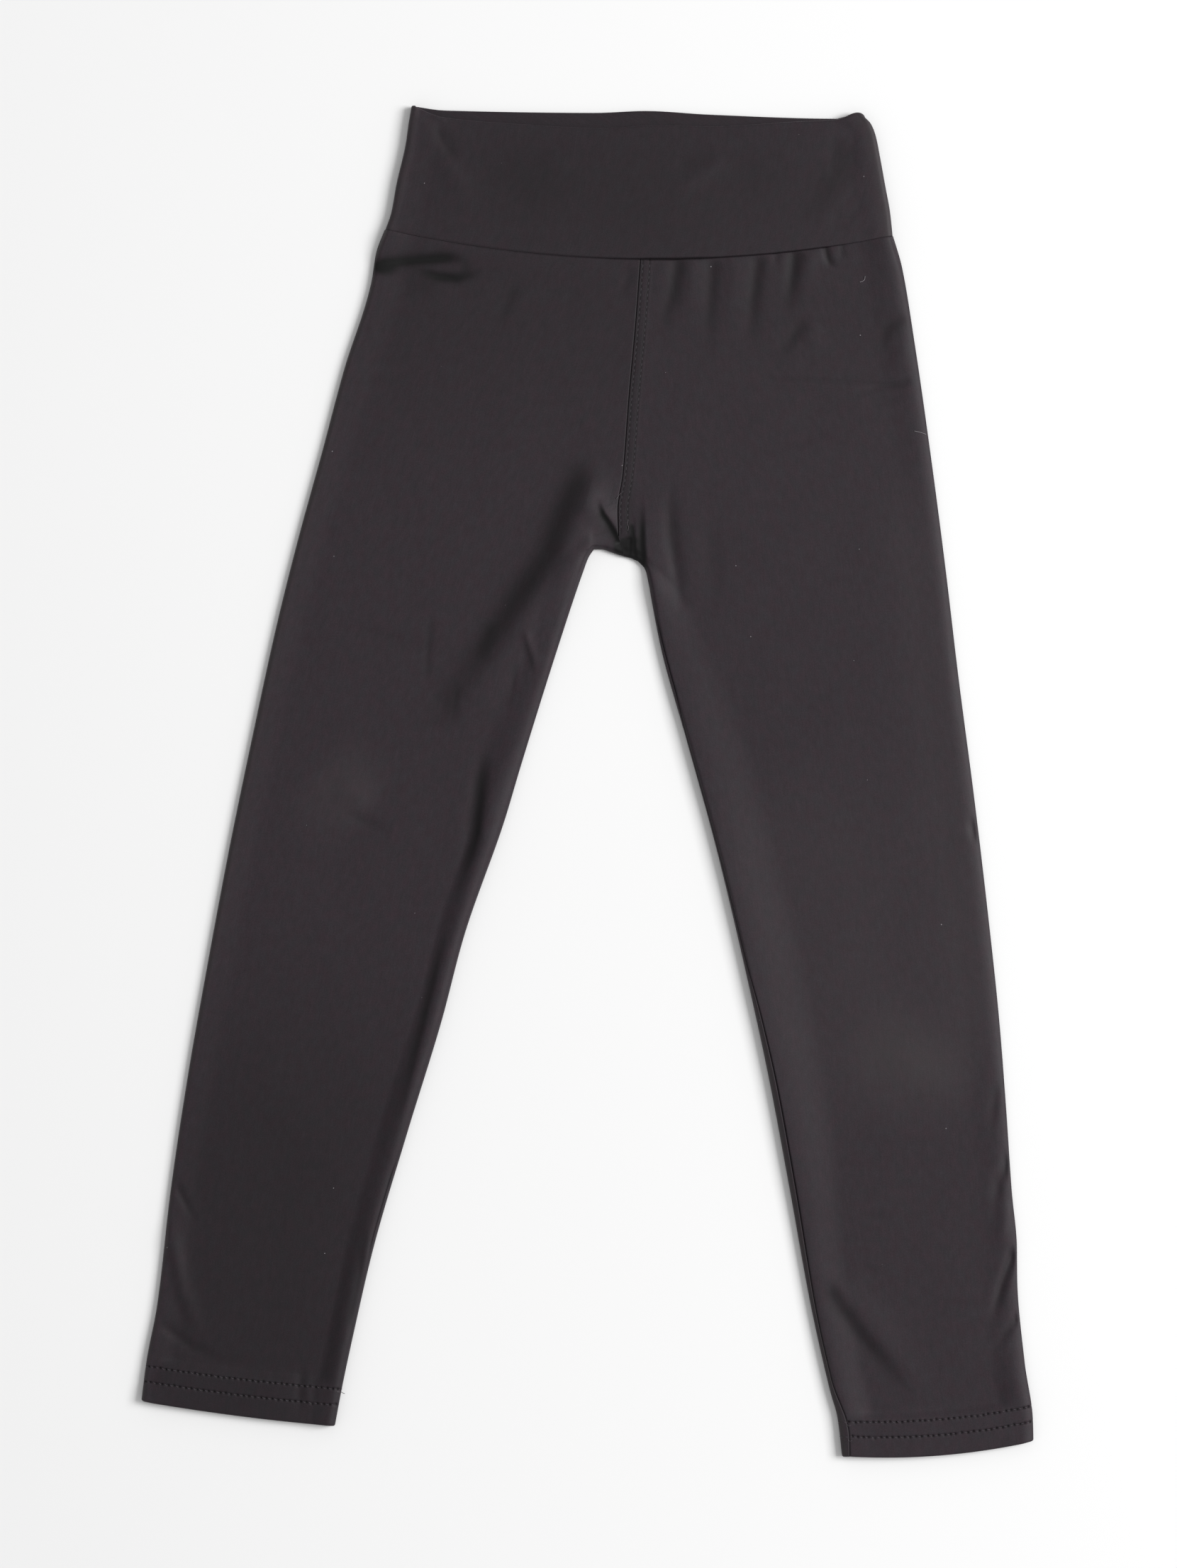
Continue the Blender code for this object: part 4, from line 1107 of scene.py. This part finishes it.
# ---- The stitching -------------------------------------------------------------------------------
# Polyester thread, spun and dyed to match. A twin needle holds each turned-up hem with two rows all
# round, and the centre-front seam allowance with two rows beside the seam, on the left leg.
#
# A stitch as it shows on the cloth's face: its length, width and thickness, how deep it is sunk into
# the cloth, and how far it is turned from the row, in degrees.
Stitch = namedtuple("Stitch", "seen wide thick sunk tilt")
HEM_STITCH = Stitch(1.2, 0.42, 0.4, 0.18, 18.0)
CENTRE_STITCH = Stitch(1.75, 1.1, 0.5, 0.34, 3.0)
AHEAD = 0.3  # a stitch takes its direction from the row this far ahead
ON_FRONT = 1.2  # a stitch that lies higher than this is on the front
UNEVEN_PLACE, UNEVEN_TURN, UNEVEN_LENGTH = 0.08, 8.0, (0.85, 1.1)
uneven = np.random.default_rng(7)


def spun_yarn(name, colour, roughness):
    """Spun fibre, smoother than the brushed cloth, so that each length catches the light a little."""
    material, shader = new_surface(name)
    finish = {"Base Color": linear(colour), "Roughness": roughness, "Specular IOR Level": 0.3}
    set_inputs(shader, finish)
    return material


hem_thread = spun_yarn("spun_polyester_hem_thread", "3a353a", 0.5)
centre_thread = spun_yarn("spun_polyester_napped_thread", "282428", 0.7)  # overgrown by the nap
SIDES = 6
# A stitch's body: (along half its length, share of its width).
BODY = [(-1.0, 0.25), (-0.8, 0.75), (-0.4, 1.0), (0.4, 1.0), (0.8, 0.75), (1.0, 0.25)]


def stitch_points(centre, run, up, stitch):
    """Rings of a stitch's body, a short flattened spindle that lies along `run`."""
    side = np.cross(up, run)
    angles = np.arange(SIDES) / SIDES * math.tau
    round_it = np.cos(angles)[:, None] * side * stitch.wide + np.sin(angles)[:, None] * up * stitch.thick
    return [centre + run * stitch.seen / 2 * along + round_it / 2 * wide for along, wide in BODY]


def thread_piece(name, bodies, thread):
    """One piece of many lengths of thread, each a list of rings that is closed at both ends."""
    points, faces = [], []
    for rings in bodies:
        number = len(points) * SIDES
        points += rings
        for ring in range(len(rings) - 1):
            for k in range(SIDES):
                a, b = number + ring * SIDES + k, number + ring * SIDES + (k + 1) % SIDES
                faces.append((a, b, b + SIDES, a + SIDES))
        faces.append(tuple(number + k for k in reversed(range(SIDES))))
        faces.append(tuple(number + (len(rings) - 1) * SIDES + k for k in range(SIDES)))
    points = np.concatenate(points)
    points[:, 2] = np.maximum(points[:, 2], 0)  # pressed flat where the cloth lies on it
    piece = new_piece(name, place_points(points).tolist(), faces, thread)
    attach(piece, "root")
    return piece


def sew_rows(name, lines, first, stitch, thread):
    """All stitches of some needle rows as one piece; each row is a line of points on the cloth."""
    bodies = []
    for line in lines:
        total = along_line(line, 0)[1]
        places = np.arange(first, total - STITCH, STITCH) + STITCH / 2
        places += uneven.normal(0, UNEVEN_PLACE, len(places))
        spots, _ = along_line(line, places)
        ahead, _ = along_line(line, places + AHEAD)
        for spot, run in zip(spots, unit(ahead - spots)):
            up = np.array([0.0, 0.0, 1.0 if spot[2] > ON_FRONT else -1.0])
            turn = math.radians(stitch.tilt + uneven.normal(0, UNEVEN_TURN))
            side = unit(np.cross(up, run))
            up = np.cross(run, side)
            run = run * math.cos(turn) + side * math.sin(turn)
            sewn = stitch._replace(seen=stitch.seen * uneven.uniform(*UNEVEN_LENGTH))
            bodies.append(stitch_points(spot + up * (stitch.thick / 2 - stitch.sunk), run, up, sewn))
    return thread_piece(name, bodies, thread)


for leg in legs:
    on_hem = [line for top_and_under in needle_rows[leg] for line in top_and_under]
    sew_rows(leg + "_hem_stitches", on_hem, FIRST_HOLE, HEM_STITCH, hem_thread)


def on_leg(leg, across, down):
    """Points (across, down, height) on a leg's front."""
    rest = np.full(len(across), 2 * CLOTH + LEG_AIR)
    return np.column_stack((across, down, leg_surface(leg, leg_lines_of[leg], across, down, rest)))


CENTRE_START, CENTRE_ENDS = 73.0, (199.0, 196.0)  # how far down the two centre-front rows run
CENTRE_STEP, FIRST_CENTRE = 0.5, 0.5
centre_rows = []
for row, end in zip(STRIP_ROWS, CENTRE_ENDS):
    down = np.arange(CENTRE_START, end, CENTRE_STEP)
    centre_rows.append(on_leg("leg_left", eased(CENTRE_FRONT, down) + row, down))
centre_stitches = sew_rows("centre_front_stitches", centre_rows, FIRST_CENTRE, CENTRE_STITCH, centre_thread)

# Tails of the sewing threads: at the crotch, and at the inner ends of the hem rows. Each is a line of
# places (across, down), and how high it stands at its end above the cloth.
TAIL, TAIL_RINGS = 0.26, 14
TAILS = {
    "leg_right": [
        ([(15.7, 180.2), (14.6, 181.2), (13.4, 183.0)], 0.3),
        ([(-116.4, 597.6), (-114.6, 598.2), (-112.8, 598.9)], -2.2),
    ],
    "leg_left": [
        ([(19.0, 192.6), (18.4, 194.4), (19.2, 196.2), (18.6, 198.0)], 0.1),
        ([(120.3, 612.9), (121.3, 613.6), (122.2, 613.2)], 0.2),
        ([(120.9, 620.0), (121.8, 620.8), (122.8, 620.2)], 0.2),
    ],
}


def tail_rings(leg, path, rise):
    """Rings of a round thread that lies on a leg's cloth and rises towards its end."""
    path = np.array(path)
    share = np.linspace(0, 1, TAIL_RINGS)
    line, _ = along_line(path, share * along_line(path, 0)[1])
    line = on_leg(leg, *line.T)
    line[:, 2] += TAIL / 2 + share ** 2 * rise
    run = unit(np.gradient(line, axis=0))
    side = unit(np.cross([0.0, 0.0, 1.0], run))
    angles = np.arange(SIDES)[:, None] / SIDES * math.tau
    return [
        spot + (np.cos(angles) * out + np.sin(angles) * np.cross(ahead, out)) * TAIL / 2
        for spot, ahead, out in zip(line, run, side)
    ]


def lay_tails(name, leg, tails, thread):
    """One piece of all the tails in a table."""
    return thread_piece(name, [tail_rings(leg, path, rise) for path, rise in tails], thread)


tail_thread = spun_yarn("spun_polyester_thread_tails", "4c464a", 0.5)  # frayed, so it looks paler
tails = {leg: lay_tails(leg + "_thread_tails", leg, TAILS[leg], tail_thread) for leg in legs}

# Cotton lint that the nap holds on the left hip, a curled hair and a short thread: pale and quite matt.
LINT_THREADS = [
    ([(126.5, 82.2), (127.8, 81.9), (128.8, 81.0), (129.0, 79.5)], 0.2),
    ([(151.8, 151.4), (154.6, 152.0), (157.4, 152.9)], 0.2),
]
cotton_lint = spun_yarn("cotton_lint", "787478", 0.8)
lint = lay_tails("leg_left_lint_threads", "leg_left", LINT_THREADS, cotton_lint)

# ---- The waistband -------------------------------------------------------------------------------
# A wide strip of the same jersey, folded in two along its top edge and joined in a ring at the centre
# back. Its two raw edges are sewn into the waist seam, so it is double cloth all round.
#
# Its folded ends, as (share of the way up, across), and its top edges, as (across, down).
BAND_LEFT = [(0.0, -93.9), (0.14, -91.2), (0.37, -88.8), (0.7, -84.5), (0.86, -83.2), (1.0, -81.9)]
BAND_RIGHT = [
    (0.0, 141.9), (0.2, 140.7), (0.43, 138.4), (0.66, 136.1), (0.84, 134.1), (0.94, 132.0), (1.0, 129.0),
]
BAND_TOP_FRONT = [
    (-81.9, 0.0), (-66.8, 5.6), (-39.1, 8.2), (8.7, 10.6), (29.9, 9.2), (56.6, 9.8), (95.5, 7.6),
    (116.0, 6.6), (125.5, 3.4), (129.0, 4.6),
]
BAND_TOP_BACK = [
    (-81.9, 0.0), (-66.0, 2.1), (3.8, 3.2), (27.0, 2.3), (56.6, 4.0), (116.0, 5.9), (125.5, 3.3),
    (129.0, 4.6),
]
BAND_HEIGHT = 66.0
BAND_AIR, LEAST_AIR = 0.45, 0.35  # between its front and back
BAND_FOLD, BAND_ROLL = 4.9, 13.0  # the folded ends stand this high, and sink over this width
TOP_SINKS, TOP_SHARE = 0.3, 0.1  # the front sinks a little over the last share of the way up,
NEAR_END = 0.016  # but not close to the ends
BAND_RIPPLES = (Ripple(30.0, 0.2, 13.0), Ripple(9.0, 0.05, 17.0))
BAND_FOLDS = [
    Fold([(-79.4, 6.0), (-66.0, 26.0), (-52.0, 50.0)], 0.4, 6.0, 5.0, 0.3, 0.4),
    Fold([(-72.0, 3.5), (-65.0, 8.0)], 0.3, 1.6, 1.6, 0.2, 0.3),
    Fold([(-71.0, 8.0), (-66.0, 18.0), (-60.0, 27.0)], -0.35, 2.6, 2.6, 0.3, 0.4),
    Fold([(121.9, 6.0), (116.0, 38.0)], -0.5, 5.0, 5.0, 0.3, 0.5),
    Fold([(128.0, 40.0), (113.0, 60.0)], -0.3, 4.0, 4.0, 0.3, 0.3),
    Fold([(40.0, 30.0), (61.0, 21.0)], -0.25, 4.4, 4.4, 0.4, 0.4),
    Fold([(38.0, 43.0), (52.0, 33.0), (68.0, 24.0)], 0.3, 4.0, 4.0, 0.4, 0.4),
    Fold([(-20.0, 20.0), (-8.0, 34.0)], 0.2, 8.0, 8.0, 0.4, 0.4),
]
# Painted light and shade on the band, laid out like the legs' patches.
BAND_PAINTED_LIGHT_AND_SHADE = [
    Fold([(-62.0, 34.0), (20.0, 38.0)], -0.2, 60.0, 60.0, 0.0, 0.0),
    Fold([(20.0, 38.0), (118.0, 34.0)], -0.12, 60.0, 60.0, 0.0, 0.0),
    Fold([(-70.0, 9.0), (-66.0, 18.0), (-59.0, 28.0)], -0.2, 3.6, 3.6, 0.3, 0.4),
    Fold([(-44.0, 14.0), (-30.0, 32.0), (-8.0, 52.0)], -0.16, 15.0, 15.0, 0.4, 0.4),
    Fold([(121.0, 12.0), (118.0, 28.0), (108.0, 46.0), (94.0, 60.0)], -0.28, 6.0, 6.0, 0.2, 0.6),
    Fold([(40.0, 30.0), (61.0, 22.0)], -0.12, 3.6, 3.6, 0.3, 0.3),
    Fold([(38.0, 43.0), (52.0, 33.0), (68.0, 24.0)], 0.12, 4.0, 4.0, 0.4, 0.4),
    Fold([(70.0, 16.0), (84.0, 50.0)], -0.1, 10.0, 12.0, 0.4, 0.4),
    # Painted light along both folded ends.
    Fold([(-92.6, 60.0), (-86.6, 38.0), (-82.4, 18.0), (-80.4, 0.0)], 0.55, 3.0, 3.0, 0.0, 0.0),
    Fold([(140.4, 62.0), (136.8, 36.0), (132.6, 13.0), (128.0, 4.0)], 0.3, 3.0, 3.0, 0.0, 0.0),
    Fold([(140.4, 62.0), (136.8, 36.0), (132.6, 13.0), (128.0, 4.0)], 0.35, 10.0, 9.0, 0.0, 0.0),
]
BAND_COLUMNS, BAND_BACK_COLUMNS, ARC_COLUMNS = 200, 60, 8
BAND_ROWS, BAND_INSIDE_ROWS = 62, 20
FIRST_ROW, LAST_INSIDE_ROW, FIRST_INSIDE_ROW = 0.026, 0.05, 0.97  # shares of the way up


def band_grid():
    """Points of the waistband, in closed rows: up its outer face, over the top edge and down inside."""
    radius = DOUBLED / 2
    up = np.concatenate((np.array(BESIDE_SEAM) / BAND_HEIGHT, np.linspace(FIRST_ROW, 1, BAND_ROWS)))
    rows = [(share, 0, 0) for share in up]
    rows += [(1, depth, beyond) for depth, beyond in turned_edge(TURN_ROWS, radius)]
    inside = np.linspace(FIRST_INSIDE_ROW, LAST_INSIDE_ROW, BAND_INSIDE_ROWS)
    rows += [(share, 2 * radius, 0) for share in inside]
    share_up, depth, beyond = (column[:, None] for column in np.array(rows, float).T)
    reach = BAND_FOLD / 2
    left, right = eased(BAND_LEFT, share_up), eased(BAND_RIGHT, share_up)
    rest = 2 * DOUBLED + BAND_AIR

    def down_at(across, top_edge):
        """How far down a row lies, between the waist seam and one of the top edges."""
        share = (across - left) / (right - left)
        seam_place = SEAM_LEFT[0] + (SEAM_RIGHT[0] - SEAM_LEFT[0]) * share
        top_place = top_edge[0][0] + (top_edge[-1][0] - top_edge[0][0]) * share
        seam = seam_down(seam_place) - PARTING
        top = eased(top_edge, top_place) + radius
        return seam + (top - seam) * share_up - beyond

    share = np.linspace(0, 1, BAND_COLUMNS + 1)[None, :]
    across = left + reach + (right - left - 2 * reach) * share
    down = down_at(across, BAND_TOP_FRONT)
    height = rest + relief(BAND_FOLDS, across, down) + rippled(BAND_RIPPLES, across, down)
    for side in (left + reach, right - reach):
        height += (BAND_FOLD - rest) * fall_off(np.abs(across - side), BAND_ROLL)
    height = np.maximum(height, 2 * DOUBLED + LEAST_AIR)
    off_the_ends = hump(share) > NEAR_END
    height -= TOP_SINKS * smooth_step((share_up - 1) / TOP_SHARE + 1) * off_the_ends
    height -= waist_groove(across, down)
    front = np.stack((across, down, height - depth), -1)

    share = np.linspace(1, 0, BAND_BACK_COLUMNS + 1)[None, :]
    across = left + reach + (right - left - 2 * reach) * share
    down = down_at(across, BAND_TOP_BACK)
    back = np.stack((across, down, np.broadcast_to(depth, across.shape)), -1)

    angle = math.pi / 2 - math.pi * np.arange(1, ARC_COLUMNS)[None, :] / ARC_COLUMNS

    def side_fold(edge, out, top):
        """The band's folded end, a half round from the front's height down to the underside."""
        across = edge + out * ((reach - depth) * np.cos(angle) - reach)
        down = down_at(across, BAND_TOP_BACK)
        return np.stack((across, down, top / 2 + (top / 2 - depth) * np.sin(angle)), -1)

    right_fold = side_fold(right, 1, height[:, -1:])
    left_fold = side_fold(left, -1, height[:, :1])[:, ::-1]
    return np.concatenate((front, right_fold, back, left_fold), axis=1)


waist_jersey = brushed_jersey("brushed_jersey_waistband", 41.9)


def sew_band():
    """The waistband's mesh, whose rows close on themselves."""
    grid = band_grid()
    number, closed = numbered([grid])[0], np.concatenate((grid, grid[:, :1]), axis=1)
    faces = corners(np.column_stack((number, number[:, 0])))[:, ::-1]
    weave = corners(grid_weave(closed, 0))[:, ::-1]
    points = grid.reshape(-1, 3)
    across, down, _ = points.T
    # Painted shade along the waist seam.
    shade = WAIST_SHADE * waist_groove(across, down, WAIST_WIDER)
    # The band's patches of painted light and shade.
    nap_and_painted_light = relief(BAND_PAINTED_LIGHT_AND_SHADE, across, down)
    return cloth_piece("waistband_cloth", points, [faces], [weave], shade, nap_and_painted_light, waist_jersey)


# The cut strip is 462 mm long and 134 mm high: twice the band's height, and the turn over its top.
waistband = sew_band()
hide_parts("waistband")
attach(waistband, "root")

# ---- Studio --------------------------------------------------------------------------------------
# A floor of plain white paper under one large soft light from the right, a bright surround that fills
# the shadows, and a camera that looks straight down. Places and sizes are in metres.
FLOOR_REACH, FLOOR_BELOW = 30.0, 0.0002
KEY_PLACE, KEY_SIZE, KEY_WATTS = Vector((3.6, 0.6, 2.9)), 2.2, 232.0
SURROUND = 0.49
PIXEL = 0.33  # millimetres of the garment's plane to a pixel
IMAGE_HEIGHT, TOP_MARGIN = 2212, 150  # pixels, and how many lie above the waistband
CAMERA_HEIGHT, CAMERA_ASIDE = 2.0, 0.5 * MM

# Uncoated paper, quite matt: it takes soft shadows and shows no reflection.
paper, paper_shader = new_surface("white_paper")
set_inputs(paper_shader, {"Base Color": linear("eeeeee"), "Roughness": 0.9})
corner_signs = ((-1, -1), (1, -1), (1, 1), (-1, 1))
floor_corners = [(FLOOR_REACH * x, FLOOR_REACH * y, 0) for x, y in corner_signs]
floor = new_piece("floor", floor_corners, [(0, 1, 2, 3)], paper)
floor.location.z = -FLOOR_BELOW

key = bpy.data.lights.new("key", "AREA")
key.shape = "SQUARE"
key.size = KEY_SIZE
key.energy = KEY_WATTS
key_lamp = bpy.data.objects.new("key", key)
key_lamp.location = KEY_PLACE
key_lamp.rotation_euler = (-KEY_PLACE).to_track_quat("-Z", "Y").to_euler()
bpy.context.scene.collection.objects.link(key_lamp)

world = bpy.data.worlds.new("surround")
world.use_nodes = True
set_inputs(world.node_tree.nodes["Background"], {"Color": linear("ffffff"), "Strength": SURROUND})
bpy.context.scene.world = world
bpy.context.scene.view_settings.view_transform = "Standard"

camera_data = bpy.data.cameras.new("camera")
camera_data.lens = camera_data.sensor_width * CAMERA_HEIGHT / (IMAGE_HEIGHT * PIXEL * MM)
camera = bpy.data.objects.new("camera", camera_data)
image_middle = TOP_EDGE - (IMAGE_HEIGHT / 2 - TOP_MARGIN) * PIXEL * MM
camera.location = (CAMERA_ASIDE, image_middle, CAMERA_HEIGHT)
bpy.context.scene.collection.objects.link(camera)
bpy.context.scene.camera = camera
